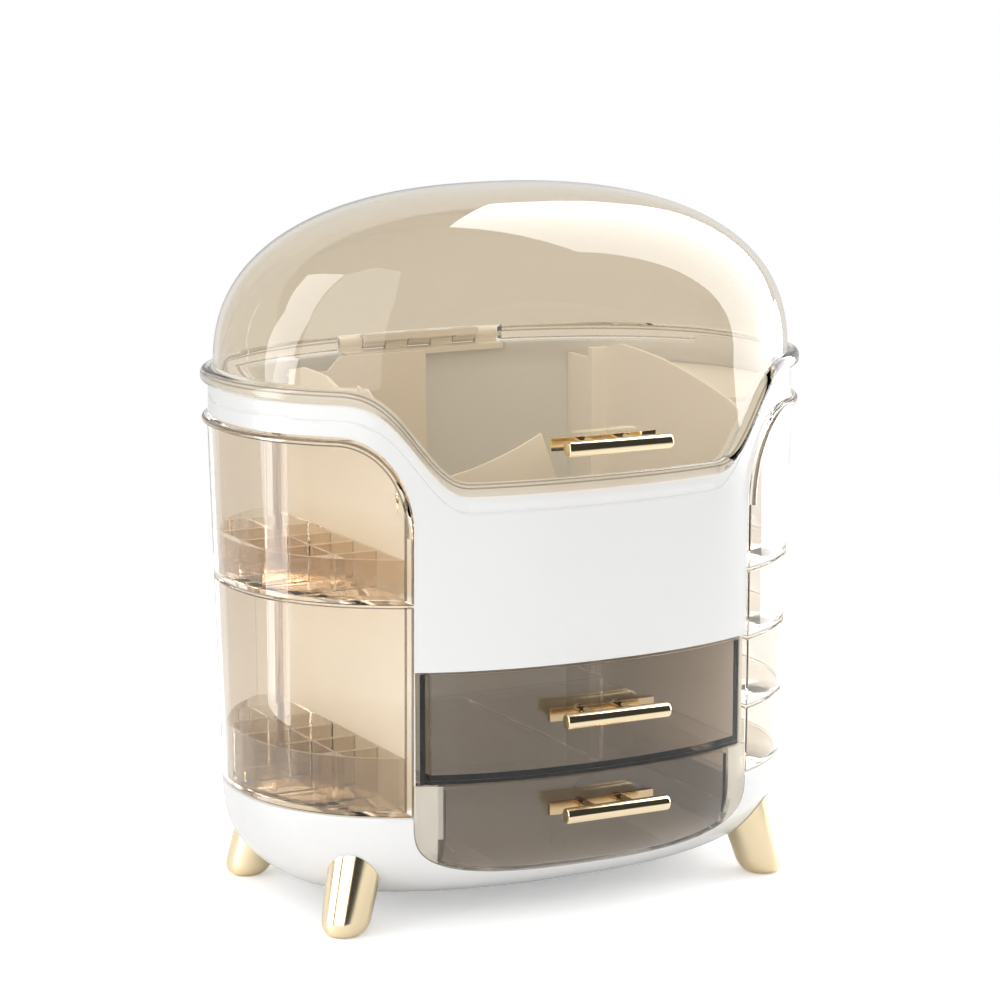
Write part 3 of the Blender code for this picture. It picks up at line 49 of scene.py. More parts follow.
MM = 0.001
PLAN_POWER = 2.25
OVAL_POINTS = 288
shell_low, shell_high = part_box("body_shell")
HOUSING_Y = (shell_low.y + shell_high.y) / 2 / MM


def make_oval_sweep():
    """Sweeps wall stations (half width, half depth, height) round the oval, and dips the front edge."""
    tree = bpy.data.node_groups.new("oval_sweep", "GeometryNodeTree")
    sockets = (
        ("Stations", "NodeSocketGeometry", None), ("Points Around", "NodeSocketInt", 288),
        ("Plan Power", "NodeSocketFloat", 2.25), ("Notch Depth", "NodeSocketFloat", 0.0),
        ("Notch Half Width", "NodeSocketFloat", 0.122), ("Notch Blend", "NodeSocketFloat", 0.06),
        ("Notch Sharpness", "NodeSocketFloat", 1.2), ("Notch Gauge Half Width", "NodeSocketFloat", 0.1465),
        ("Lean", "NodeSocketFloat", 0.0), ("Finish", "NodeSocketMaterial", None),
    )
    for name, kind, default in sockets:
        made = tree.interface.new_socket(name, in_out="INPUT", socket_type=kind)
        if default is not None:
            made.default_value = default
    tree.interface.new_socket("Wall", in_out="OUTPUT", socket_type="NodeSocketGeometry")
    given = tree.nodes.new("NodeGroupInput").outputs

    def join(value, socket):
        if isinstance(value, (int, float)):
            socket.default_value = value
        else:
            tree.links.new(value, socket)

    def calc(operation, *values, clamp=False):
        made = tree.nodes.new("ShaderNodeMath")
        made.operation = operation
        made.use_clamp = clamp
        for socket, value in zip(made.inputs, values):
            join(value, socket)
        return made.outputs[0]

    size = tree.nodes.new("GeometryNodeAttributeDomainSize")
    join(given["Stations"], size.inputs["Geometry"])
    columns = calc("ADD", given["Points Around"], 1)
    grid = tree.nodes.new("GeometryNodeMeshGrid")
    join(size.outputs["Point Count"], grid.inputs["Vertices X"])
    join(columns, grid.inputs["Vertices Y"])
    index = tree.nodes.new("GeometryNodeInputIndex").outputs[0]
    row = calc("FLOOR", calc("DIVIDE", calc("ADD", index, 0.5), columns))
    column = calc("SUBTRACT", index, calc("MULTIPLY", row, columns))
    angle = calc("MULTIPLY", column, calc("DIVIDE", math.tau, given["Points Around"]))

    def station_value(attribute):
        sample = tree.nodes.new("GeometryNodeSampleIndex")
        join(given["Stations"], sample.inputs["Geometry"])
        join(row, sample.inputs["Index"])
        if attribute == "position":
            sample.data_type = "FLOAT_VECTOR"
            source = tree.nodes.new("GeometryNodeInputPosition").outputs[0]
        else:
            sample.data_type = "FLOAT"
            named = tree.nodes.new("GeometryNodeInputNamedAttribute")
            named.data_type = "FLOAT"
            named.inputs["Name"].default_value = attribute
            source = named.outputs["Attribute"]
        join(source, sample.inputs["Value"])
        return sample.outputs["Value"]

    station = tree.nodes.new("ShaderNodeSeparateXYZ")
    join(station_value("position"), station.inputs[0])
    power = calc("DIVIDE", 2.0, given["Plan Power"])
    across = calc("COSINE", angle)
    along = calc("SINE", angle)
    share_x = calc("MULTIPLY", calc("SIGN", across), calc("POWER", calc("ABSOLUTE", across), power))
    share_y = calc("MULTIPLY", calc("SIGN", along), calc("POWER", calc("ABSOLUTE", along), power))
    gauge = calc("MULTIPLY", calc("ABSOLUTE", share_x), given["Notch Gauge Half Width"])
    inside = calc("SUBTRACT", given["Notch Half Width"], gauge)
    ramp = calc("POWER", calc("DIVIDE", inside, given["Notch Blend"], clamp=True), given["Notch Sharpness"])
    smooth = tree.nodes.new("ShaderNodeMapRange")
    smooth.interpolation_type = "SMOOTHERSTEP"
    join(ramp, smooth.inputs["Value"])
    front = calc("LESS_THAN", along, -0.001)
    dip = calc("MULTIPLY", calc("MULTIPLY", smooth.outputs["Result"], front), given["Notch Depth"])
    drop = calc("MULTIPLY", station_value("dip"), dip)
    half_width = calc("SUBTRACT", station.outputs[0], calc("MULTIPLY", given["Lean"], drop))
    place = tree.nodes.new("ShaderNodeCombineXYZ")
    join(calc("MULTIPLY", half_width, share_x), place.inputs[0])
    join(calc("MULTIPLY", station.outputs[1], share_y), place.inputs[1])
    join(calc("SUBTRACT", station.outputs[2], drop), place.inputs[2])
    keep = tree.nodes.new("GeometryNodeStoreNamedAttribute")
    keep.data_type = "FLOAT"
    keep.domain = "POINT"
    keep.inputs["Name"].default_value = "station"
    join(grid.outputs["Mesh"], keep.inputs["Geometry"])
    join(station_value("station"), keep.inputs["Value"])
    move = tree.nodes.new("GeometryNodeSetPosition")
    join(keep.outputs["Geometry"], move.inputs["Geometry"])
    join(place.outputs[0], move.inputs["Position"])
    weld = tree.nodes.new("GeometryNodeMergeByDistance")
    weld.inputs["Distance"].default_value = 0.00001
    join(move.outputs["Geometry"], weld.inputs["Geometry"])
    real = tree.nodes.new("GeometryNodeRealizeInstances")
    join(weld.outputs["Geometry"], real.inputs["Geometry"])
    finish = tree.nodes.new("GeometryNodeSetMaterial")
    join(real.outputs["Geometry"], finish.inputs["Geometry"])
    join(given["Finish"], finish.inputs["Material"])
    join(finish.outputs["Geometry"], tree.nodes.new("NodeGroupOutput").inputs["Wall"])
    return tree


OVAL_SWEEP = make_oval_sweep()


def grown(name, mesh, tree, sizes):
    """What a Geometry Nodes tree makes of a mesh, as a bmesh, with its inputs given by name."""
    holder = bpy.data.objects.new(name, mesh)
    bpy.context.scene.collection.objects.link(holder)
    modifier = holder.modifiers.new(tree.name, "NODES")
    modifier.node_group = tree
    for item in tree.interface.items_tree:
        if item.in_out == "INPUT" and item.name in sizes:
            modifier[item.identifier] = sizes[item.name]
    depsgraph = bpy.context.evaluated_depsgraph_get()
    made = bpy.data.meshes.new_from_object(holder.evaluated_get(depsgraph))
    holder.modifiers.remove(modifier)
    bpy.data.objects.remove(holder)
    bm = bmesh.new()
    bm.from_mesh(made)
    bpy.data.meshes.remove(made)
    return bm


def swept(name, stations, finish, **sizes):
    """A closed wall in millimetres from stations (half width, half depth, height, dip, finish below it)."""
    mesh = bpy.data.meshes.new(f"{name}_stations")
    mesh.from_pydata([[value * MM for value in row[:3]] for row in stations], [], [])
    for attribute, values in (("dip", [row[3] for row in stations]), ("station", range(len(stations)))):
        layer = mesh.attributes.new(attribute, "FLOAT", "POINT")
        layer.data.foreach_set("value", [float(value) for value in values])
    sizes = {"Points Around": OVAL_POINTS, "Plan Power": PLAN_POWER, "Finish": finish, **sizes}
    bm = grown(name, mesh, OVAL_SWEEP, sizes)
    station = bm.verts.layers.float["station"]
    for face in bm.faces:
        face.material_index = stations[round(min(vert[station] for vert in face.verts))][4]
    bmesh.ops.scale(bm, vec=(1 / MM,) * 3, verts=bm.verts)
    bmesh.ops.recalc_face_normals(bm, faces=bm.faces)
    return bm


def carved(bm, cutter, operation="DIFFERENCE"):
    """A mesh cut, joined or trimmed by another. Both are used up."""
    pair = []
    for part in (bm, cutter):
        bmesh.ops.recalc_face_normals(part, faces=part.faces)
        mesh = bpy.data.meshes.new("carving")
        part.to_mesh(mesh)
        part.free()
        pair.append(bpy.data.objects.new("carving", mesh))
        bpy.context.scene.collection.objects.link(pair[-1])
    target, tool = pair
    modifier = target.modifiers.new("carving", "BOOLEAN")
    modifier.operation = operation
    modifier.solver = "EXACT"
    modifier.material_mode = "INDEX"
    modifier.object = tool
    depsgraph = bpy.context.evaluated_depsgraph_get()
    made = bpy.data.meshes.new_from_object(target.evaluated_get(depsgraph))
    for obj in pair:
        bpy.data.objects.remove(obj)
    result = bmesh.new()
    result.from_mesh(made)
    bpy.data.meshes.remove(made)
    bmesh.ops.remove_doubles(result, verts=result.verts, dist=0.0005)
    return result


def fitted(name, bm, finishes, body, nodes, soften=0.0, edge_shade=0, limit=35.0):
    """Puts a finished piece on its body, with its sharp edges softened, in place of its plain solids. Where
    an index is given, the softened edges take that material, a painted dark edge shade.
    """
    bmesh.ops.translate(bm, vec=(0.0, HOUSING_Y, 0.0), verts=bm.verts)
    bmesh.ops.scale(bm, vec=(MM, MM, MM), verts=bm.verts)
    bmesh.ops.recalc_face_normals(bm, faces=bm.faces)
    mesh = bpy.data.meshes.new(name)
    bm.to_mesh(mesh)
    bm.free()
    for finish in finishes:
        mesh.materials.append(finish)
    mesh.shade_smooth()
    piece = bpy.data.objects.new(name, mesh)
    bpy.context.scene.collection.objects.link(piece)
    if soften:
        bevel = piece.modifiers.new("softened edges", "BEVEL")
        bevel.width = soften * MM
        bevel.segments = 2
        bevel.limit_method = "ANGLE"
        bevel.angle_limit = math.radians(limit)
        bevel.harden_normals = True
        bevel.material = edge_shade if edge_shade else -1
        depsgraph = bpy.context.evaluated_depsgraph_get()
        softened = bpy.data.meshes.new_from_object(piece.evaluated_get(depsgraph))
        piece.modifiers.remove(bevel)
        piece.data = softened
    else:
        mesh.set_sharp_from_angle(angle=math.radians(30.0))
    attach(piece, body)
    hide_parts(*nodes)
    return piece


def make_moulded_skin():
    """Slight unevenness that every moulded or plated surface shows: patches, smudges and fine grain."""
    group = bpy.data.node_groups.new("moulded_skin", "ShaderNodeTree")
    for name, kind, default in (
        ("Colour", "NodeSocketColor", (0.8, 0.8, 0.8, 1.0)),
        ("Patch Colour", "NodeSocketColor", (0.7, 0.7, 0.7, 1.0)),
        ("Patch Size", "NodeSocketFloat", 18.0), ("Roughness", "NodeSocketFloat", 0.2),
        ("Smudge", "NodeSocketFloat", 0.06), ("Grain Size", "NodeSocketFloat", 900.0),
    ):
        made = group.interface.new_socket(name, in_out="INPUT", socket_type=kind)
        made.default_value = default
    for name in ("Colour", "Roughness", "Height"):
        kind = "NodeSocketColor" if name == "Colour" else "NodeSocketFloat"
        group.interface.new_socket(name, in_out="OUTPUT", socket_type=kind)
    given = group.nodes.new("NodeGroupInput").outputs
    out = group.nodes.new("NodeGroupOutput").inputs
    place = group.nodes.new("ShaderNodeTexCoord").outputs["Object"]
    patches = group.nodes.new("ShaderNodeTexNoise")
    patches.inputs["Detail"].default_value = 3.0
    group.links.new(place, patches.inputs["Vector"])
    group.links.new(given["Patch Size"], patches.inputs["Scale"])
    mix = group.nodes.new("ShaderNodeMix")
    mix.data_type = "RGBA"
    group.links.new(patches.outputs["Fac"], mix.inputs["Factor"])
    group.links.new(given["Colour"], mix.inputs["A"])
    group.links.new(given["Patch Colour"], mix.inputs["B"])
    group.links.new(mix.outputs["Result"], out["Colour"])
    smudges = group.nodes.new("ShaderNodeTexNoise")
    smudges.inputs["Scale"].default_value = 42.0
    smudges.inputs["Detail"].default_value = 5.0
    smudges.inputs["Roughness"].default_value = 0.65
    group.links.new(place, smudges.inputs["Vector"])
    spread = group.nodes.new("ShaderNodeMath")
    spread.operation = "MULTIPLY_ADD"
    group.links.new(smudges.outputs["Fac"], spread.inputs[0])
    group.links.new(given["Smudge"], spread.inputs[1])
    group.links.new(given["Roughness"], spread.inputs[2])
    group.links.new(spread.outputs[0], out["Roughness"])
    grain = group.nodes.new("ShaderNodeTexNoise")
    grain.inputs["Detail"].default_value = 2.0
    group.links.new(place, grain.inputs["Vector"])
    group.links.new(given["Grain Size"], grain.inputs["Scale"])
    group.links.new(grain.outputs["Fac"], out["Height"])
    return group


MOULDED_SKIN = make_moulded_skin()


def skinned(name, colour, patch_colour, roughness, smudge, bump, grain=900.0, patch=18.0):
    """A material whose Principled shader takes its colour, gloss and relief from the moulded skin."""
    made = bpy.data.materials.new(name)
    made.use_nodes = True
    tree = made.node_tree
    shader = tree.nodes["Principled BSDF"]
    skin = tree.nodes.new("ShaderNodeGroup")
    skin.node_tree = MOULDED_SKIN
    skin.inputs["Colour"].default_value = (*colour, 1.0)
    skin.inputs["Patch Colour"].default_value = (*patch_colour, 1.0)
    skin.inputs["Roughness"].default_value = roughness
    skin.inputs["Smudge"].default_value = smudge
    skin.inputs["Grain Size"].default_value = grain
    skin.inputs["Patch Size"].default_value = patch
    tree.links.new(skin.outputs["Colour"], shader.inputs["Base Color"])
    tree.links.new(skin.outputs["Roughness"], shader.inputs["Roughness"])
    relief = tree.nodes.new("ShaderNodeBump")
    relief.inputs["Strength"].default_value = bump
    relief.inputs["Distance"].default_value = 0.0002
    tree.links.new(skin.outputs["Height"], relief.inputs["Height"])
    tree.links.new(relief.outputs["Normal"], shader.inputs["Normal"])
    return made


def dress(finish, *names):
    """Gives a finish to solids that show as they are."""
    for name in names:
        CAD[name].data.materials.clear()
        CAD[name].data.materials.append(finish)


WHITE = skinned("white_gloss_abs", (0.76, 0.76, 0.755), (0.735, 0.735, 0.73), 0.18, 0.10, 0.06, 700.0)
gloss_coat = WHITE.node_tree.nodes["Principled BSDF"].inputs
gloss_coat["Coat Weight"].default_value = 0.25
gloss_coat["Coat Roughness"].default_value = 0.06

RIM_Z = 58.0
RIM_HALF_WIDTH = 141.5
RIM_HALF_DEPTH = 97.5
RIM_ROUND = 0.8
BOWL_DROP = 55.5
BOWL_UNDER_Z = 13.0
BOWL_WALL = 2.6
BOWL_SIDE_PULL = 101.0
BOWL_FRONT_PULL = 131.0
BOWL_POWER = 2.6
OPENING_HALF_WIDTH = 89.0
OPENING_DROP = 31.0
OPENING_POWER = 3.3
FRONT_CUT = (-120.0, -60.0)


def bowl_station(z, inset):
    """The bowl's half width and depth at a height: upright at the rim, pulled in faster and faster below."""
    u = min(max((RIM_Z - z) / BOWL_DROP, 0.0), 1.0)
    pull = 1 - (1 - u**BOWL_POWER) ** (1 / BOWL_POWER)
    half_width = RIM_HALF_WIDTH - BOWL_SIDE_PULL * pull - inset
    return (half_width, RIM_HALF_DEPTH - BOWL_FRONT_PULL * pull - inset, z, 0, 0)


def bowl_side(low, high, inset, steps=26):
    """Stations up the bowl, closest together near the bottom."""
    return [bowl_station(low + (high - low) * (i / steps) ** 1.5, inset) for i in range(steps + 1)]


def bowl_block(inset, top):
    """The bowl's outer form as a solid block, `inset` inside it and carried up to `top`."""
    side = bowl_side(BOWL_UNDER_Z + inset, RIM_Z, inset)
    across, deep = side[-1][:2]
    stations = [(0, 0, side[0][2], 0, 0), *side, (across, deep, top, 0, 0), (0, 0, top, 0, 0)]
    return swept("bowl_block", stations, WHITE)


def on_axis(axis, at, a, b):
    """The point `at` along an axis and (a, b) across it."""
    return {"X": (at, a, b), "Y": (a, at, b), "Z": (a, b, at)}[axis]


def prism(axis, outline, low, high):
    """A straight block whose outline lies across an axis."""
    bm = bmesh.new()
    rings = []
    for at in (low, high):
        rings.append([bm.verts.new(on_axis(axis, at, a, b)) for a, b in outline])
    count = len(outline)
    for i in range(count):
        j = (i + 1) % count
        bm.faces.new((rings[0][i], rings[0][j], rings[1][j], rings[1][i]))
    bm.faces.new(rings[0][::-1])
    bm.faces.new(rings[1])
    bmesh.ops.recalc_face_normals(bm, faces=bm.faces)
    return bm


def opening_edge(inset, steps=72):
    """The lower drawer's opening seen from the front, from its left top to its right top."""
    widest = OPENING_HALF_WIDTH - inset
    drop = OPENING_DROP - inset
    points = []
    for i in range(steps + 1):
        angle = math.pi * i / steps
        c = math.cos(angle)
        x = -widest * math.copysign(abs(c) ** (2 / OPENING_POWER), c)
        points.append((x, RIM_Z - drop * max(math.sin(angle), 0.0) ** (2 / OPENING_POWER)))
    return points


def opening_shape(inset, half_width=None):
    """The opening's edge closed well above the rim, kept within a half width where one is given."""
    edge = opening_edge(inset)
    if half_width:
        widest = OPENING_HALF_WIDTH - inset
        share = (1 - (half_width / widest) ** OPENING_POWER) ** (1 / OPENING_POWER)
        low = RIM_Z - (OPENING_DROP - inset) * share
        inner = [(x, z) for x, z in edge if abs(x) < half_width - 0.01]
        edge = [(-half_width, low), *inner, (half_width, low)]
    return [(edge[0][0], RIM_Z + 40.0), *edge, (edge[-1][0], RIM_Z + 40.0)]


outer = bowl_side(BOWL_UNDER_Z, RIM_Z - RIM_ROUND, 0.0)
inner = bowl_side(BOWL_UNDER_Z + BOWL_WALL, RIM_Z - RIM_ROUND, BOWL_WALL)
rim = []
for inset, below in ((0.25, 0.2), (RIM_ROUND, 0.0), (BOWL_WALL, 0.0)):
    rim.append((RIM_HALF_WIDTH - inset, RIM_HALF_DEPTH - inset, RIM_Z - below, 0, 0))
stations = [(0, 0, BOWL_UNDER_Z, 0, 0), *outer, *rim, *inner[::-1], (0, 0, inner[0][2], 0, 0)]
bowl = swept("base_bowl", stations, WHITE)
bowl = carved(bowl, prism("Y", opening_shape(0.0), *FRONT_CUT))
fitted("bowl_moulding", bowl, [WHITE], "housing", ["base_bowl"], soften=0.5, limit=50.0)
dress(WHITE, "deck_left", "deck_right", "bay_floor")

# Feet. Four tapered feet in bright gold plating, splayed outwards, with rounded tips and small flat
# pads. Each stands under the bowl, and its top is cut to the bowl's curve.


def plated(*finish):
    """A bright metal surface with the moulded skin."""
    made = skinned(*finish)
    made.node_tree.nodes["Principled BSDF"].inputs["Metallic"].default_value = 1.0
    return made


GOLD = plated("gold_plate", (0.91, 0.77, 0.53), (0.87, 0.72, 0.47), 0.09, 0.07, 0.03, 1400.0, 60.0)


def turned(axis, across, up, profile, points=48):
    """A turned form along an axis from (radius, along) pairs. A zero radius closes to a point."""
    bm = bmesh.new()
    rings = []
    for radius, at in profile:
        spots = []
        for i in range(points if radius else 1):
            angle = math.tau * i / points
            spots.append(on_axis(axis, at, across + radius * math.cos(angle), up + radius * math.sin(angle)))
        rings.append([bm.verts.new(spot) for spot in spots])
    for low, high in zip(rings, rings[1:]):
        for i in range(points):
            j = (i + 1) % points
            if len(low) == 1:
                bm.faces.new((low[0], high[j], high[i]))
            elif len(high) == 1:
                bm.faces.new((low[i], low[j], high[0]))
            else:
                bm.faces.new((low[i], low[j], high[j], high[i]))
    for end in (rings[0], rings[-1]):
        if len(end) > 1:
            bm.faces.new(end)
    bmesh.ops.recalc_face_normals(bm, faces=bm.faces)
    return bm


FOOT_PAD_RADIUS = 5.5
FOOT_LOW_RADIUS = 11.6
FOOT_TOP_RADIUS = 13.2
FOOT_TIP = 8.0
FOOT_HEIGHT = 38.0
FOOT_X = 114.0
FOOT_Y = 57.0
FOOT_LEAN_X = 10.0
FOOT_LEAN_Y = 5.0
FOOT_GAP = 0.3
for name, side, end in (
    ("foot_front_left", -1, -1), ("foot_front_right", 1, -1), ("foot_back_left", -1, 1),
    ("foot_back_right", 1, 1),
):
    profile = []
    for i in range(11):
        z = FOOT_TIP * (i / 10) ** 1.8
        swell = math.sqrt(1 - (1 - z / FOOT_TIP) ** 2)
        profile.append((FOOT_PAD_RADIUS + (FOOT_LOW_RADIUS - FOOT_PAD_RADIUS) * swell, z))
    for i in range(1, 8):
        radius = FOOT_LOW_RADIUS + (FOOT_TOP_RADIUS - FOOT_LOW_RADIUS) * i / 6
        profile.append((radius, FOOT_TIP + (FOOT_HEIGHT - FOOT_TIP) * i / 6))
    foot = turned("Z", 0.0, 0.0, profile, 64)
    for vert in foot.verts:
        lean = vert.co.z / FOOT_HEIGHT
        vert.co.x += side * (FOOT_X - FOOT_LEAN_X * lean)
        vert.co.y += end * (FOOT_Y - FOOT_LEAN_Y * lean)
    foot = carved(foot, bowl_block(-FOOT_GAP, RIM_Z + 5.0))
    fitted(f"{name}_cone", foot, [GOLD], "housing", [name])

# Housing shell. A thin white wall that leans out a little, with the windows for the end bins, the bay
# for the drawers and the dipped front edge moulded in. A stepped lip inside its top guides the lid,
# and a fine line runs a few millimetres below the edge, where the two halves of the mould meet.

SHELL_HALF_WIDTH = 146.5
SHELL_HALF_DEPTH = 96.5
SHELL_LOW_HALF_WIDTH = 141.3
SHELL_TOP_Z = 250.5
SHELL_WALL = 2.5
BAND_LOW_Z = 236.0
FULL_DIP = 15.0
BIN_INNER_X = 88.7
CORNER_X = 118.7
CORNER_Z = 190.0
BAY_HALF_WIDTH = 90.0
BAY_LOW_Z = 38.0
BAY_TOP_Z = 127.0
HINGE_HALF_WIDTH = 46.0
PAST_SIDE = 170.0
PAST_TOP = 270.0
NOTCH = {
    "Notch Depth": 42.5 * MM, "Notch Half Width": 122.0 * MM, "Notch Blend": 60.0 * MM,
    "Notch Sharpness": 1.2, "Notch Gauge Half Width": SHELL_HALF_WIDTH * MM,
}
BOTTOM_Z = RIM_Z + 0.3


def shell_station(below_edge, inset):
    """A station measured down from the top edge, which dips with the notch less and less lower down."""
    z = SHELL_TOP_Z - below_edge
    share = min((z - RIM_Z) / (BAND_LOW_Z - RIM_Z), 1.0)
    half = SHELL_LOW_HALF_WIDTH + (SHELL_HALF_WIDTH - SHELL_LOW_HALF_WIDTH) * share
    dip = 1.0 if below_edge < FULL_DIP else (z - BOTTOM_Z) / (SHELL_TOP_Z - FULL_DIP - BOTTOM_Z)
    return (half - inset, SHELL_HALF_DEPTH - inset, z, dip, 0)


def rectangle(left, low, right, high):
    return [(left, low), (right, low), (right, high), (left, high)]


height = SHELL_TOP_Z - BOTTOM_Z
stations = [shell_station(height - (height - FULL_DIP) * i / 14, 0.0) for i in range(15)]
for below, inset in (
    (9.0, 0.0), (7.9, 0.0), (7.6, 0.35), (7.2, 0.35), (6.9, 0.0), (3.0, 0.0), (1.2, 0.0), (0.55, 0.18),
    (0.16, 0.55), (0.0, 1.2), (0.0, 4.2), (-3.2, 4.2), (-3.5, 4.5), (-3.5, 6.2), (2.0, 6.2),
    (6.2, SHELL_WALL), (FULL_DIP, SHELL_WALL),
):
    stations.append(shell_station(below, inset))
stations += [shell_station(FULL_DIP + (height - FULL_DIP) * i / 14, SHELL_WALL) for i in range(1, 15)]
stations.append(stations[0])
lean = (SHELL_HALF_WIDTH - SHELL_LOW_HALF_WIDTH) / (BAND_LOW_Z - RIM_Z)
shell = swept("body_shell", stations, WHITE, Lean=lean, **NOTCH)
for side in (-1, 1):
    inner = BIN_INNER_X - 0.5
    outline = [(inner, RIM_Z - 20.0)]
    for i in range(41):
        angle = math.pi / 2 * i / 40
        x = CORNER_X - (CORNER_X - inner) * math.cos(angle)
        outline.append((x, CORNER_Z + (BAND_LOW_Z - CORNER_Z) * math.sin(angle)))
    outline += [(PAST_SIDE, BAND_LOW_Z), (PAST_SIDE, RIM_Z - 20.0)]
    shell = carved(shell, prism("Y", [(side * x, z) for x, z in outline], -120.0, 0.0))
    rear = rectangle(80.0, RIM_Z - 20.0, PAST_SIDE, BAND_LOW_Z)
    shell = carved(shell, prism("Y", [(side * x, z) for x, z in rear], -1.0, 120.0))
bay = rectangle(-BAY_HALF_WIDTH, BAY_LOW_Z, BAY_HALF_WIDTH, BAY_TOP_Z)
shell = carved(shell, prism("Y", bay, -120.0, -20.0))
rear_lip = rectangle(-PAST_SIDE, SHELL_TOP_Z - 0.3, PAST_SIDE, PAST_TOP)
shell = carved(shell, prism("Y", rear_lip, 40.0, 120.0))
hinge_seat = rectangle(-HINGE_HALF_WIDTH, 247.0, HINGE_HALF_WIDTH, PAST_TOP)
shell = carved(shell, prism("Y", hinge_seat, 70.0, 120.0))
fitted("housing_shell", shell, [WHITE], "housing", ["body_shell"], soften=0.5, limit=50.0)

# Well. Two white tower sides with wavy tops, a floor and the shoulders over the bins, all thin white
# mouldings clipped into the shell, and two cream card-thin dividers that lift out.

CREAM = skinned("cream_card", (0.76, 0.71, 0.64), (0.73, 0.68, 0.61), 0.38, 0.10, 0.10, 1200.0)
PALE_CREAM = skinned("pale_cream_card", (0.93, 0.88, 0.81), (0.90, 0.85, 0.78), 0.38, 0.10, 0.10, 1200.0)
SATIN_WHITE = skinned("white_satin_abs", (0.93, 0.90, 0.86), (0.905, 0.875, 0.835), 0.34, 0.10, 0.08, 900.0)
dress(SATIN_WHITE, "tower_side_left", "tower_side_right", "well_floor", "shoulder_left", "shoulder_right")
dress(CREAM, "well_divider_rear")
dress(PALE_CREAM, "well_divider_front")

# Smoked bay. Two cheeks and a shelf of smoked clear plastic that part the drawers from the bins and
# from each other. They are cut sheet, so their edges catch a fine light line.


def mixed(tree, share, first, second):
    """A mix of two shaders: all of the first at no share, and all of the second at a full one."""
    mix = tree.nodes.new("ShaderNodeMixShader")
    for socket, value in zip(mix.inputs, (share, first, second)):
        tree.links.new(value, socket)
    return mix.outputs[0]


def clear_plastic(name, tint, patch_tint, passes, ior, coat=0.0, roughness=0.003, smudge=0.01, bump=0.01):
    """Clear moulded plastic: tinted glass to the eye, and a plain tint to light on its way through.

    Flat thin walls bend what is behind them very little, so they have a low index and a glossy coat.
    """
    made = skinned(name, tint, patch_tint, roughness, smudge, bump, 160.0, 9.0)
    tree = made.node_tree
    shader = tree.nodes["Principled BSDF"]
    shader.inputs["Transmission Weight"].default_value = 1.0
    shader.inputs["IOR"].default_value = ior
    shader.inputs["Coat Weight"].default_value = coat
    shader.inputs["Coat IOR"].default_value = 1.5
    shader.inputs["Coat Roughness"].default_value = 0.01
    through = tree.nodes.new("ShaderNodeBsdfTransparent")
    through.inputs["Color"].default_value = (*passes, 1.0)
    ray = tree.nodes.new("ShaderNodeLightPath")
    lit = tree.nodes.new("ShaderNodeMath")
    lit.operation = "MAXIMUM"
    tree.links.new(ray.outputs["Is Shadow Ray"], lit.inputs[0])
    tree.links.new(ray.outputs["Is Diffuse Ray"], lit.inputs[1])
    surface = mixed(tree, lit.outputs[0], shader.outputs[0], through.outputs[0])
    tree.links.new(surface, tree.nodes["Material Output"].inputs["Surface"])
    return made


SMOKED = clear_plastic(
    "smoked_clear", (0.895, 0.85, 0.795), (0.88, 0.835, 0.775), (0.965, 0.955, 0.94), ior=1.1, coat=1.0,
    roughness=0.004, smudge=0.012,
)
# Painted shade: a near-black clear material for the drawers' rounded edges, standing in for the dark lines
# that show along them.
SMOKED_SHADED_EDGE = clear_plastic(
    "smoked_clear_painted_edge_shade", (0.16, 0.14, 0.12), (0.13, 0.115, 0.10), (0.93, 0.91, 0.89), ior=1.2,
    roughness=0.05, smudge=0.02,
)
SMOKED_PALE = clear_plastic(
    "smoked_clear_pale", (0.97, 0.94, 0.885), (0.955, 0.92, 0.865), (0.98, 0.97, 0.95), ior=1.1, coat=1.0,
    roughness=0.004, smudge=0.012,
)
dress(SMOKED, "drawer_shelf")
dress(SMOKED_PALE, "cheek_left", "cheek_right", "upper_drawer_divider")

# Upper drawer. A one-piece smoked tub whose front follows the housing's oval, with a divider across
# its floor. The rim and corners are slightly rounded where the mould parts.


def oval_point(angle, half_width, half_depth):
    c = math.cos(angle)
    s = math.sin(angle)
    x = half_width * math.copysign(abs(c) ** (2 / PLAN_POWER), c)
    return x, half_depth * math.copysign(abs(s) ** (2 / PLAN_POWER), s)


def oval_y(x, half_width, half_depth):
    return half_depth * (1 - (abs(x) / half_width) ** PLAN_POWER) ** (1 / PLAN_POWER)


def angle_at(x, half_width):
    return math.acos((x / half_width) ** (PLAN_POWER / 2))


def oval_arc(start, end, half_width, half_depth, points):
    angles = [start + (end - start) * i / (points - 1) for i in range(points)]
    return [oval_point(angle, half_width, half_depth) for angle in angles]


def stacked(rings):
    """Faces between closed rings of points, capped at both ends."""
    bm = bmesh.new()
    made = [[bm.verts.new(point) for point in ring] for ring in rings]
    for low, high in zip(made, made[1:]):
        for i, corner in enumerate(low):
            j = (i + 1) % len(low)
            bm.faces.new((corner, low[j], high[j], high[i]))
    bm.faces.new(made[0][::-1])
    bm.faces.new(made[-1])
    bmesh.ops.recalc_face_normals(bm, faces=bm.faces)
    return bm


DRAWER_BACK_Y = 55.0
DRAWER_WALL = 2.0
DRAWER_FRONT_WALL = 2.6
UPPER_SPAN = 82.4
UPPER_LOW = 76.1
UPPER_TOP = 125.6
FRONT_HALF_WIDTH = RIM_HALF_WIDTH + 1.0
POST_X = 10.0
SCREW_HOLE = 1.55
HANDLE_Z = {"lid": 230.5, "upper_drawer": 104.0, "lower_drawer": 59.5}


def drilled(bm, z):
    """Bores a handle's two screw holes."""
    for x in (-POST_X, POST_X):
        bm = carved(bm, turned("Y", x, z, [(SCREW_HOLE, at) for at in FRONT_CUT], 24))
    return bm


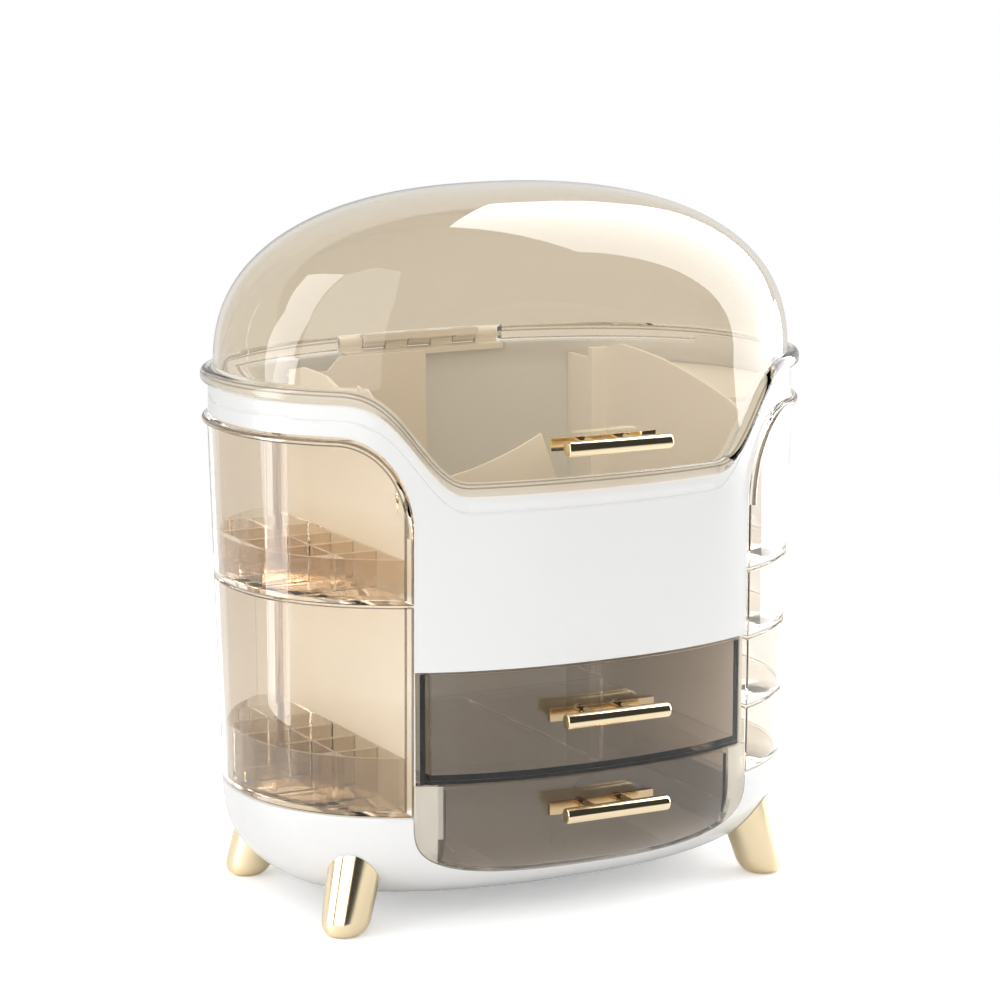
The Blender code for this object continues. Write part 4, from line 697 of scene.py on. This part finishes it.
def drawer_ring(z, inset, front_inset):
    """The drawer's plan at a height: a curved front between straight sides."""
    half_width = FRONT_HALF_WIDTH - front_inset
    span = UPPER_SPAN - inset
    edge = angle_at(span, half_width)
    arc = oval_arc(math.pi + edge, math.tau - edge, half_width, RIM_HALF_DEPTH - front_inset, 61)
    arc += [(span, DRAWER_BACK_Y - inset), (-span, DRAWER_BACK_Y - inset)]
    return [(x, y, z) for x, y in arc]


rings = [drawer_ring(z, inset, front) for z, inset, front in (
    (UPPER_LOW, 0.0, 0.0), (UPPER_TOP, 0.0, 0.0), (UPPER_TOP, DRAWER_WALL, DRAWER_FRONT_WALL),
    (UPPER_LOW + DRAWER_WALL, DRAWER_WALL, DRAWER_FRONT_WALL),
)]
tub = drilled(stacked(rings), HANDLE_Z["upper_drawer"])
# Painted shade: the rounded rim and corners take the dark edge material.
fitted(
    "upper_drawer_moulding", tub, [SMOKED, SMOKED_SHADED_EDGE], "upper_drawer", ["upper_drawer_tub"],
    soften=0.45, edge_shade=1,
)

# Lower drawer. Its front is a slice of the bowl's own form in smoked clear plastic, with a straight
# tub behind it that slides on the bay floor. Beside the tub the front's corners are painted lighter and
# frosted, standing in for the light from the white bowl that shows through them.

LOWER_FRONT_TOP = 73.3
LOWER_TUB_TOP = 70.5
LOWER_SPAN = 76.0
PAINTED_LIGHT_FROM_X = 77.5
PAST_BOWL = 95.0
panel = carved(prism("Y", opening_shape(0.5), *FRONT_CUT), bowl_block(0.0, LOWER_FRONT_TOP), "INTERSECT")
panel = carved(panel, bowl_block(DRAWER_FRONT_WALL, PAST_BOWL))
tub = prism("Y", opening_shape(0.6, LOWER_SPAN), -110.0, DRAWER_BACK_Y)
room = opening_shape(0.6 + DRAWER_WALL, LOWER_SPAN - DRAWER_WALL)
tub = carved(tub, prism("Y", room, -115.0, DRAWER_BACK_Y - DRAWER_WALL))
tub = carved(tub, bowl_block(DRAWER_FRONT_WALL / 2, PAST_BOWL), "INTERSECT")
tub = carved(tub, prism("Z", rectangle(-100.0, -120.0, 100.0, 80.0), LOWER_TUB_TOP, 130.0))
tub = drilled(carved(tub, panel, "UNION"), HANDLE_Z["lower_drawer"])
SMOKED_DEEP = clear_plastic(
    "smoked_clear_deep", (0.845, 0.79, 0.73), (0.85, 0.80, 0.74), (0.955, 0.945, 0.93), ior=1.1, coat=1.0,
    roughness=0.004, smudge=0.012,
)
SMOKED_LIT_CORNER = clear_plastic(
    "smoked_corner_painted_light", (0.80, 0.75, 0.66), (0.76, 0.71, 0.62), (0.96, 0.94, 0.91), ior=1.1, coat=1.0,
    roughness=0.08, smudge=0.05, bump=0.02,
)
SMOKED_LIT_CORNER.node_tree.nodes["Principled BSDF"].inputs["Transmission Weight"].default_value = 0.55
# Painted light: the front's corners beyond this width take the lighter, frosted material.
for face in tub.faces:
    if abs(face.calc_center_median().x) > PAINTED_LIGHT_FROM_X:
        face.material_index = 2
# Painted shade: the rounded edges take the dark edge material.
fitted(
    "lower_drawer_moulding", tub, [SMOKED_DEEP, SMOKED_SHADED_EDGE, SMOKED_LIT_CORNER], "lower_drawer",
    ["lower_drawer_tub"], soften=0.4, edge_shade=1, limit=50.0,
)

# End bins. Clear amber tubs that wrap round the ends of the housing, two on the left and four on the
# right. Each turns on an upright steel rod at its rear corner; the top bins carry a rounded bead.

AMBER = clear_plastic(
    "amber_clear", (0.955, 0.915, 0.86), (0.945, 0.90, 0.84), (0.99, 0.98, 0.955), ior=1.08, coat=0.55,
)
# Painted shade: a near-black clear material for the bins' rims, rounded edges and bead strips, standing in
# for the dark lines that show there.
AMBER_SHADED_EDGE = clear_plastic(
    "amber_clear_painted_edge_shade", (0.17, 0.145, 0.12), (0.13, 0.11, 0.09), (0.96, 0.94, 0.91), ior=1.2,
    roughness=0.05, smudge=0.02,
)
# Painted shade: a darker amber for the bins' rear, standing in for the shaded back panel seen through it.
AMBER_SHADED_REAR = clear_plastic(
    "amber_clear_rear_painted_shade", (0.75, 0.655, 0.535), (0.73, 0.63, 0.505), (0.97, 0.95, 0.92), ior=1.08, coat=0.55,
)
AMBER_BEAD = clear_plastic(
    "amber_clear_bead", (0.93, 0.89, 0.83), (0.91, 0.87, 0.80), (0.98, 0.96, 0.93), ior=1.3, coat=1.0,
    roughness=0.01, smudge=0.02,
)
GRID_AMBER = clear_plastic(
    "amber_clear_grid", (0.875, 0.815, 0.74), (0.855, 0.79, 0.71), (0.96, 0.93, 0.89), ior=1.08, coat=1.0,
    roughness=0.006,
)
DEEP_GRID_AMBER = clear_plastic(
    "amber_clear_deep_grid", (0.78, 0.735, 0.67), (0.76, 0.71, 0.64), (0.95, 0.93, 0.90), ior=1.08, coat=1.0,
    roughness=0.006,
)
STEEL = plated("bright_steel", (0.86, 0.85, 0.84), (0.80, 0.79, 0.78), 0.14, 0.10, 0.05, 1800.0, 90.0)
dress(STEEL, "pivot_rod_left", "pivot_rod_right")

BIN_LOW_HALF = 141.3
BIN_TOP_HALF = 147.0
BIN_HALF_DEPTH = 97.5
BIN_LOW_Z = 58.6
BIN_TOP_Z = 234.8
BIN_WALL = 2.0
BIN_GAP = 0.45
BIN_REAR_X = 101.0
BIN_REAR_Y = 61.5
CORNER_REACH = 30.4
CORNER_RISE = 45.4
BEAD_REACH = 28.5
ROD_X = 89.5
ROD_Y = 69.0
BARREL_RADIUS = 5.5
ROD_BORE = 2.15
LOW_COLLAR_BORE = 4.4
REAR_SHADE_FROM_Y = 50.0


def bin_half(z):
    """Half of the bins' width at a height, as they lean out with the housing."""
    return BIN_LOW_HALF + (BIN_TOP_HALF - BIN_LOW_HALF) * min((z - RIM_Z) / (BAND_LOW_Z - RIM_Z), 1.0)


def bin_ring(side, z, inset):
    """A bin's plan at a height: the oval outside, the flat inner wall, and a slant beside the rod."""
    half_width = bin_half(z) - inset
    half_depth = BIN_HALF_DEPTH - inset
    slant_x = BIN_REAR_X - BIN_INNER_X
    slant_y = oval_y(BIN_REAR_X, BIN_TOP_HALF, BIN_HALF_DEPTH) - BIN_REAR_Y
    length = math.hypot(slant_x, slant_y)
    dx = slant_x / length
    dy = slant_y / length
    inner_x = BIN_INNER_X + inset
    inner_y = BIN_REAR_Y + (dy * inset - inset) / dx
    near = 0.0
    far = 80.0
    for _ in range(50):
        middle = (near + far) / 2
        x = inner_x + dx * middle
        y = inner_y + dy * middle
        if (abs(x) / half_width) ** PLAN_POWER + (abs(y) / half_depth) ** PLAN_POWER > 1:
            far = middle
        else:
            near = middle
    start = -angle_at(inner_x, half_width)
    outline = oval_arc(start, angle_at(inner_x + dx * near, half_width), half_width, half_depth, 64)
    outline.insert(1, oval_point(start + 0.010, half_width, half_depth))
    outline.append((inner_x, inner_y))
    return [(side * x, y, z) for x, y in outline]


def corner_cutter(side):
    """What rounds a top bin's upper front corner."""
    points = []
    for i in range(33):
        angle = math.pi / 2 * i / 32
        points.append((CORNER_X - CORNER_REACH * math.cos(angle), CORNER_Z + CORNER_RISE * math.sin(angle)))
    points += [(CORNER_X, PAST_TOP), (60.0, PAST_TOP), (60.0, CORNER_Z)]
    return prism("Y", [(side * x, z) for x, z in points], -120.0, -66.0)


def make_bead(side):
    """The bead round a top bin: along the oval, then down the rounded corner."""
    rim_z = BIN_TOP_Z - 1.6
    start = angle_at(BIN_REAR_X + 3.0, BIN_TOP_HALF)
    end = -angle_at(CORNER_X, BIN_TOP_HALF)
    spots = []
    for i in range(73):
        spots.append((*oval_point(start + (end - start) * i / 72, BIN_TOP_HALF, BIN_HALF_DEPTH), rim_z))
    for i in range(1, 33):
        turn = math.pi / 2 * i / 32
        x = CORNER_X - BEAD_REACH * math.sin(turn)
        z = CORNER_Z + (rim_z - CORNER_Z) * math.cos(turn)
        spots.append((x, -oval_y(x, bin_half(z), BIN_HALF_DEPTH), z))
    path = []
    for x, y, z in spots:
        out = Vector((
            math.copysign(abs(x / BIN_TOP_HALF) ** (PLAN_POWER - 1) / BIN_TOP_HALF, x),
            math.copysign(abs(y / BIN_HALF_DEPTH) ** (PLAN_POWER - 1) / BIN_HALF_DEPTH, y), 0.0,
        )).normalized()
        path.append((Vector((side * x, y, z)), Vector((side * out.x, out.y, 0.0))))
    half_section = [(2.5, 0.5), (2.1, 1.1), (1.3, 1.45), (-1.0, 1.5)]
    section = [(a, -b) for a, b in half_section[::-1]] + half_section
    rings = []
    for i, (spot, out) in enumerate(path):
        forward = (path[min(i + 1, len(path) - 1)][0] - path[max(i - 1, 0)][0]).normalized()
        across = forward.cross(out).normalized()
        rings.append([spot + a * out + b * across for a, b in section])
    bm = stacked(rings)
    # Painted shade: the strips beside its round front take the dark edge material.
    for i, face in enumerate(bm.faces):
        face.material_index = 2 if i % len(section) in (1, 2, 4, 5) else 1
    return bm


bodies = {
    "left_bin_1": "left_bin_lower", "left_bin_2": "left_bin_upper", "right_bin_1": "right_bin_lowest",
    "right_bin_2": "right_bin_low", "right_bin_3": "right_bin_high", "right_bin_4": "right_bin_top",
}
for label, side, splits in (("left", -1, (158.0,)), ("right", 1, (91.0, 125.0, 158.5))):
    levels = [BIN_LOW_Z - BIN_GAP, *splits, BIN_TOP_Z + BIN_GAP]
    for i in range(len(levels) - 1):
        name = f"{label}_bin_{i + 1}"
        low = levels[i] + BIN_GAP
        high = levels[i + 1] - BIN_GAP
        section = (
            (low, 0.7), (low + 0.2, 0.2), (low + 0.7, 0.0), (low + 1.2, 0.0), (high - 1.0, 0.0),
            (high - 0.5, 0.0), (high - 0.15, 0.15), (high, 0.5), (high, 1.6), (high - 0.2, 1.9),
            (high - 0.6, BIN_WALL), (high - 1.1, BIN_WALL), (low + BIN_WALL, BIN_WALL),
        )
        rings = [bin_ring(side, z, inset) for z, inset in section]
        tub = stacked(rings)
        # Painted shade: the rims and the inner wall's front edge take the dark edge material, for how dark
        # they look when seen through their whole depth.
        for at, face in enumerate(tub.faces):
            row = at // len(rings[0])
            if row in (0, 1, 5, 6) or (row < len(rings) - 1 and at % len(rings[0]) == 0):
                face.material_index = 2
        top = i == len(levels) - 2
        if top:
            tub = carved(tub, corner_cutter(side))
            tub = carved(tub, make_bead(side), "UNION")
        barrel_low = low + 0.2 if i else low + 1.2
        turns = [(BARREL_RADIUS, barrel_low, high - 0.2, "UNION")]
        turns.append((ROD_BORE, low - 5.0, high + 5.0, "DIFFERENCE"))
        if not i:
            turns.append((LOW_COLLAR_BORE, low - 5.0, barrel_low, "DIFFERENCE"))
        for radius, start, end, operation in turns:
            form = turned("Z", side * ROD_X, ROD_Y, [(radius, start), (radius, end)])
            tub = carved(tub, form, operation)
        # Painted shade: plain wall faces towards the rear take the darker amber.
        for face in tub.faces:
            if face.calc_center_median().y > REAR_SHADE_FROM_Y and not face.material_index:
                face.material_index = 3
        fitted(
            f"{name}_tub", tub, [AMBER, AMBER_BEAD, AMBER_SHADED_EDGE, AMBER_SHADED_REAR], bodies[name], [name],
            soften=0.35, edge_shade=2, limit=50.0,
        )
dress(DEEP_GRID_AMBER, "left_grid_1")
dress(GRID_AMBER, "left_grid_2")

# Lid. One clear amber dome with a straight skirt, a bib that fills the housing's dip and a thick bead
# round its edge. It is moulded thin, so reflections run across it in long smooth shapes.

LID_WALL = 2.4
LID_EDGE_Z = 251.0
SKIRT_HALF_WIDTH = 145.5
SKIRT_HALF_DEPTH = 97.5
SKIRT_TOP_Z = 258.5
DOME_HALF_WIDTH = 143.6
DOME_HALF_DEPTH = 97.2
DOME_BASE_Z = 256.0
DOME_RISE = 83.998
DOME_POWER = 2.4
BEAD_WIDER = 4.5
BEAD_DEEPER = 2.5


def dome_side(half_width, half_depth, rise, steps=44):
    """Stations from the top of the dome down to where the skirt starts."""
    first = math.asin(((SKIRT_TOP_Z - DOME_BASE_Z) / rise) ** (DOME_POWER / 2))
    found = []
    for i in range(steps + 1):
        angle = math.pi / 2 + (first - math.pi / 2) * i / steps
        share = max(math.cos(angle), 0.0) ** (2 / DOME_POWER)
        z = DOME_BASE_Z + rise * math.sin(angle) ** (2 / DOME_POWER)
        found.append((half_width * share, half_depth * share, z, 0, 0))
    return found


def between(start, end, steps):
    """Stations part of the way from one to another, without either."""
    found = []
    for i in range(1, steps):
        found.append(tuple(a + (b - a) * i / steps for a, b in zip(start[:4], end[:4])) + (0,))
    return found


LID_AMBER = clear_plastic(
    "lid_amber", (0.825, 0.765, 0.665), (0.805, 0.74, 0.635), (0.985, 0.955, 0.905), ior=1.46,
    smudge=0.004, bump=0.002,
)
LID_BEAD = clear_plastic(
    "lid_bead_amber", (0.90, 0.84, 0.75), (0.88, 0.815, 0.72), (0.97, 0.94, 0.89), ior=1.49, smudge=0.008,
)
# Painted reflection: dark lines on the bead, standing in for the dark reflections that run along it.
LID_DARK_LINE = clear_plastic(
    "lid_painted_dark_line", (0.36, 0.31, 0.25), (0.31, 0.26, 0.21), (0.93, 0.90, 0.86), ior=1.49,
    roughness=0.02, smudge=0.02,
)
# Painted light: a pale, frosted band low on the bead, standing in for the bright band of light along its
# lower edge.
LID_LIGHT_STRIP = clear_plastic(
    "lid_painted_light_strip", (0.97, 0.925, 0.86), (0.955, 0.905, 0.835), (0.98, 0.96, 0.93), ior=1.46,
    roughness=0.16, smudge=0.04, bump=0.02,
)
outside = dome_side(DOME_HALF_WIDTH, DOME_HALF_DEPTH, DOME_RISE)
inside = dome_side(DOME_HALF_WIDTH - LID_WALL, DOME_HALF_DEPTH - LID_WALL, DOME_RISE - LID_WALL)
bead = []
# Bead stations take finish 1 for the bead, 2 for the painted dark lines and 3 for the painted light band.
for out, lift, finish in (
    (0.0, 6.4, 1), (1.6, 6.35, 1), (2.8, 6.05, 2), (3.7, 5.4, 1), (4.3, 4.5, 2), (4.5, 3.7, 3), (4.5, 2.0, 3),
    (4.3, 1.1, 3), (3.8, 0.45, 3), (3.0, 0.1, 1), (2.4, 0.0, 1),
):
    half_depth = SKIRT_HALF_DEPTH + out * BEAD_DEEPER / BEAD_WIDER
    bead.append((SKIRT_HALF_WIDTH + out, half_depth, LID_EDGE_Z + lift, 1, finish))
bead.append((SKIRT_HALF_WIDTH - LID_WALL, SKIRT_HALF_DEPTH - LID_WALL, LID_EDGE_Z, 1, 0))
stations = outside + between(outside[-1], bead[0], 12) + bead
stations += between(bead[-1], inside[-1], 12) + inside[::-1]
lid = swept("lid_dome", stations, LID_AMBER, **NOTCH)
hinge_gap = rectangle(-HINGE_HALF_WIDTH, 240.0, HINGE_HALF_WIDTH, SKIRT_TOP_Z + 0.3)
lid = drilled(carved(lid, prism("Y", hinge_gap, 82.0, 120.0)), HANDLE_Z["lid"])
fitted("lid_shell", lid, [LID_AMBER, LID_BEAD, LID_DARK_LINE, LID_LIGHT_STRIP], "lid", ["lid_dome"])

# Lid hinge. Cream knuckles strung on a steel pin at the middle of the back, by turns the housing's
# own and those of a short leaf that closes the gap in the lid's skirt.

dress(CREAM, "lid_hinge_base", "lid_hinge_leaf")
dress(STEEL, "lid_hinge_pin")

# Handles. Each is a gold-plated bar on two posts over a curved gold back plate, held by two screws
# from inside the wall.

# Painted reflection: the drawers' plates are gold painted a darker brown, standing in for the smoked drawer
# fronts that they reflect.
GOLD_PAINTED_REFLECTION = plated(
    "gold_plate_painted_reflection", (0.62, 0.47, 0.30), (0.56, 0.42, 0.26), 0.12, 0.08, 0.03, 1400.0, 60.0,
)
BAR_Y = -112.7
BAR_END = [(0.0, -27.0), (2.85, -27.0), (3.3, -26.85), (3.58, -26.5), (3.67, -26.0)]
POST_RADIUS = 2.6
SCREW_DEPTH = 7.0
PLATE_GAP = 0.3
PLATE_THICKNESS = 1.8
PLATE_HALF_WIDTH = 27.5
PLATE_HALF_HEIGHT = 3.0
for owner, half_width, half_depth, plate_gold in (
    ("lid", SKIRT_HALF_WIDTH, SKIRT_HALF_DEPTH, GOLD),
    ("upper_drawer", FRONT_HALF_WIDTH, RIM_HALF_DEPTH, GOLD_PAINTED_REFLECTION),
    ("lower_drawer", RIM_HALF_WIDTH, RIM_HALF_DEPTH, GOLD_PAINTED_REFLECTION),
):
    z = HANDLE_Z[owner]
    post_end = -oval_y(POST_X, half_width, half_depth) - PLATE_GAP - PLATE_THICKNESS - PLATE_GAP
    bar = turned("X", BAR_Y, z, BAR_END + [(radius, -at) for radius, at in BAR_END[::-1]], 64)
    for x in (-POST_X, POST_X):
        bar = carved(bar, turned("Y", x, z, [(POST_RADIUS, BAR_Y), (POST_RADIUS, post_end)], 40), "UNION")
        bore = [(SCREW_HOLE, post_end - SCREW_DEPTH), (SCREW_HOLE, post_end + 5.0)]
        bar = carved(bar, turned("Y", x, z, bore, 24))
    fitted(f"{owner}_bar", bar, [GOLD], owner, [f"{owner}_handle_bar"])
    outline = []
    for offset, order in ((PLATE_GAP + PLATE_THICKNESS, 1), (PLATE_GAP, -1)):
        for i in range(25)[::order]:
            x = PLATE_HALF_WIDTH * (i - 12) / 12
            outline.append((x, -oval_y(x, half_width + offset, half_depth + offset)))
    plate = drilled(prism("Z", outline, z - PLATE_HALF_HEIGHT, z + PLATE_HALF_HEIGHT), z)
    fitted(f"{owner}_plate", plate, [plate_gold], owner, [f"{owner}_handle_plate"], soften=0.4)
    dress(STEEL, f"{owner}_handle_screw_left", f"{owner}_handle_screw_right")

# Photo table. A pale floor that fades into a white surround, soft lamps that give the plain light,
# and cards that only gloss shows: a tall one on the right, a strip and a veil on the left, and a near
# one beside the bins of each side.

scene = bpy.context.scene
scene.view_settings.view_transform = "Standard"
scene.cycles.transparent_max_bounces = 32
scene.cycles.max_bounces = 28
scene.cycles.transmission_bounces = 28
scene.cycles.glossy_bounces = 8
scene.cycles.diffuse_bounces = 4

world = bpy.data.worlds.new("white_room")
scene.world = world
world.use_nodes = True
sky = world.node_tree
plain = sky.nodes["Background"]
seen = sky.nodes.new("ShaderNodeBackground")
room = sky.nodes.new("ShaderNodeBackground")
for light in (plain, seen, room):
    light.inputs["Color"].default_value = (1.0, 1.0, 1.0, 1.0)
plain.inputs["Strength"].default_value = 0.80
direction = sky.nodes.new("ShaderNodeSeparateXYZ")
sky.links.new(sky.nodes.new("ShaderNodeTexCoord").outputs["Generated"], direction.inputs[0])


def sky_calc(operation, *values, clamp=False):
    """A sum in the surround's shader."""
    made = sky.nodes.new("ShaderNodeMath")
    made.operation = operation
    made.use_clamp = clamp
    for socket, value in zip(made.inputs, values):
        if isinstance(value, (int, float)):
            socket.default_value = value
        else:
            sky.links.new(value, socket)
    return made.outputs[0]


above = sky_calc("SUBTRACT", sky_calc("MULTIPLY", direction.outputs[1], 1.05), direction.outputs[2])
backdrop = sky_calc("MULTIPLY", above, 12.0, clamp=True)
rays = sky.nodes.new("ShaderNodeLightPath")
within = sky_calc("ADD", rays.outputs["Transmission Depth"], rays.outputs["Is Transmission Ray"], clamp=True)
dim = sky_calc("MULTIPLY_ADD", within, 0.66, 0.04)
glare = sky_calc("MULTIPLY", backdrop, sky_calc("MULTIPLY_ADD", within, 0.28, 0.72))
level = sky_calc("MAXIMUM", glare, dim)
sky.links.new(level, room.inputs["Strength"])
bent = sky_calc("ADD", rays.outputs["Is Glossy Ray"], rays.outputs["Is Transmission Ray"], clamp=True)
lighting = mixed(sky, bent, plain.outputs[0], room.outputs[0])
whole = mixed(sky, rays.outputs["Is Camera Ray"], lighting, seen.outputs[0])
sky.links.new(whole, sky.nodes["World Output"].inputs["Surface"])

floor_mesh = bpy.data.meshes.new("floor")
bm = bmesh.new()
bmesh.ops.create_circle(bm, cap_ends=True, segments=96, radius=1.6)
bm.to_mesh(floor_mesh)
bm.free()
floor = bpy.data.objects.new("floor", floor_mesh)
scene.collection.objects.link(floor)
table = bpy.data.materials.new("pale_table")
table.use_nodes = True
top = table.node_tree
cloth = top.nodes["Principled BSDF"]
cloth.inputs["Base Color"].default_value = (0.93, 0.93, 0.93, 1.0)
cloth.inputs["Roughness"].default_value = 0.6
cloth.inputs["Emission Color"].default_value = (1.0, 1.0, 1.0, 1.0)
eye = top.nodes.new("ShaderNodeLightPath")
lift = top.nodes.new("ShaderNodeMath")
lift.operation = "MULTIPLY"
lift.inputs[1].default_value = 0.30
top.links.new(eye.outputs["Is Camera Ray"], lift.inputs[0])
top.links.new(lift.outputs[0], cloth.inputs["Emission Strength"])
clear = top.nodes.new("ShaderNodeBsdfTransparent")
reach = top.nodes.new("ShaderNodeVectorMath")
reach.operation = "LENGTH"
top.links.new(top.nodes.new("ShaderNodeTexCoord").outputs["Object"], reach.inputs[0])
fade = top.nodes.new("ShaderNodeMapRange")
fade.interpolation_type = "SMOOTHSTEP"
fade.inputs["From Min"].default_value = 0.35
fade.inputs["From Max"].default_value = 1.2
top.links.new(reach.outputs["Value"], fade.inputs["Value"])
faded = mixed(top, fade.outputs["Result"], cloth.outputs[0], clear.outputs[0])
top.links.new(faded, top.nodes["Material Output"].inputs["Surface"])
floor_mesh.materials.append(table)

CENTRE = Vector((0.0, 0.0, 0.27))


def far(*corners):
    """Corners of a card that stands well away, from their directions out of the lid's middle."""
    return [CENTRE + Vector(corner).normalized() * 1.3 for corner in corners]


def add_card(name, spots, strength):
    """A glowing card that only reflections show."""
    card_mesh = bpy.data.meshes.new(name)
    spots = [Vector(spot) for spot in spots]
    middle = sum(spots, Vector()) / len(spots)
    faces = [(i, (i + 1) % len(spots), len(spots)) for i in range(len(spots))]
    card_mesh.from_pydata([*spots, middle], [], faces)
    card = bpy.data.objects.new(name, card_mesh)
    scene.collection.objects.link(card)
    glow = bpy.data.materials.new(f"{name}_glow")
    glow.use_nodes = True
    glow.node_tree.nodes.remove(glow.node_tree.nodes["Principled BSDF"])
    lamp = glow.node_tree.nodes.new("ShaderNodeEmission")
    lamp.inputs["Strength"].default_value = strength
    glow.node_tree.links.new(lamp.outputs[0], glow.node_tree.nodes["Material Output"].inputs["Surface"])
    card_mesh.materials.append(glow)
    card.visible_camera = False
    card.visible_diffuse = False
    card.visible_transmission = False
    card.visible_shadow = False


add_card("right_card", far(
    (0.90, -0.36, -0.20), (0.93, -0.37, 0.10), (0.80, -0.32, 0.50), (0.45, -0.18, 0.87), (0.19, 0.39, 0.90),
    (0.38, 0.67, 0.64), (0.57, 0.62, 0.54), (0.67, 0.62, 0.41), (0.80, 0.53, 0.29), (0.93, 0.35, 0.09),
    (0.95, 0.30, -0.20),
), 6.5)
add_card("left_strip", far(
    (-1.0, 0.02, -0.35), (-1.0, 0.42, -0.35), (-1.0, 0.42, 0.6), (-1.0, 1.0, 1.6), (-1.0, 0.34, 2.0),
    (-1.0, -0.04, 0.55),
), 6.0)
add_card("left_bin_card", (
    (-0.45, 0.051, 0.30), (-0.45, -0.056, 0.30), (-0.45, 0.016, 0.003), (-0.45, 0.159, 0.003),
), 10.0)
add_card("right_bin_card", (
    (0.45, -0.10, 0.30), (0.45, 0.14, 0.30), (0.45, 0.16, 0.045), (0.45, -0.05, 0.045),
), 7.0)
add_card("left_veil", far(
    (-1.0, -0.12, -0.2), (-1.0, -0.05, 0.55), (-1.0, 0.3, 2.0), (-0.30, 0.04, 0.95), (-0.24, -0.16, 0.96),
    (-0.43, -0.51, 0.74), (-0.59, -0.72, 0.38), (-0.62, -0.76, -0.2),
), 2.0)


def add_lamp(name, place, aim, size, watts):
    """A soft lamp that gloss and the camera don't show."""
    light = bpy.data.lights.new(name, "AREA")
    light.shape = "RECTANGLE"
    light.size, light.size_y = size
    light.energy = watts
    lamp = bpy.data.objects.new(name, light)
    lamp.location = place
    lamp.rotation_euler = (Vector(aim) - Vector(place)).to_track_quat("-Z", "Y").to_euler()
    lamp.visible_glossy = False
    lamp.visible_transmission = False
    lamp.visible_camera = False
    scene.collection.objects.link(lamp)


add_lamp("front_fill", (-0.5, -1.6, 0.9), (0.0, 0.0, 0.15), (1.4, 1.0), 6.0)
add_lamp("right_fill", (1.5, -0.3, 0.8), (0.0, 0.0, 0.18), (1.0, 1.2), 6.0)
add_lamp("left_fill", (-1.5, -0.5, 0.6), (0.0, 0.0, 0.15), (1.0, 1.2), 6.0)
add_lamp("top_fill", (0.0, 0.1, 1.6), (0.0, 0.0, 0.2), (1.4, 1.4), 5.0)

# Camera. It stands to the left in front, a little above the lid, with a long lens, as in the
# photograph. Its frame is square, and the lens is given as a focal length in picture points.

TURN = 0.4791
TILT = 0.1848
DISTANCE = 1745.7615
LEFT_SHIFT = 2.1393
UP_SHIFT = 16.1917
AIM_Z = 170.0
FOCAL_POINTS = 3600.0
FRAME_POINTS = 1000.0
view = bpy.data.cameras.new("photo_view")
camera = bpy.data.objects.new("photo_view", view)
scene.collection.objects.link(camera)
scene.camera = camera
right = Vector((math.cos(TURN), -math.sin(TURN), 0.0))
forward = Vector((math.sin(TURN) * math.cos(TILT), math.cos(TURN) * math.cos(TILT), -math.sin(TILT)))
upward = right.cross(forward)
spot = Vector((0.0, HOUSING_Y, AIM_Z)) - forward * DISTANCE - right * LEFT_SHIFT + upward * UP_SHIFT
camera.matrix_world = Matrix.Translation(spot * MM) @ Matrix((right, upward, -forward)).transposed().to_4x4()
view.sensor_width = 36.0
view.lens = FOCAL_POINTS * view.sensor_width / FRAME_POINTS
view.clip_start = 0.05
view.clip_end = 30.0
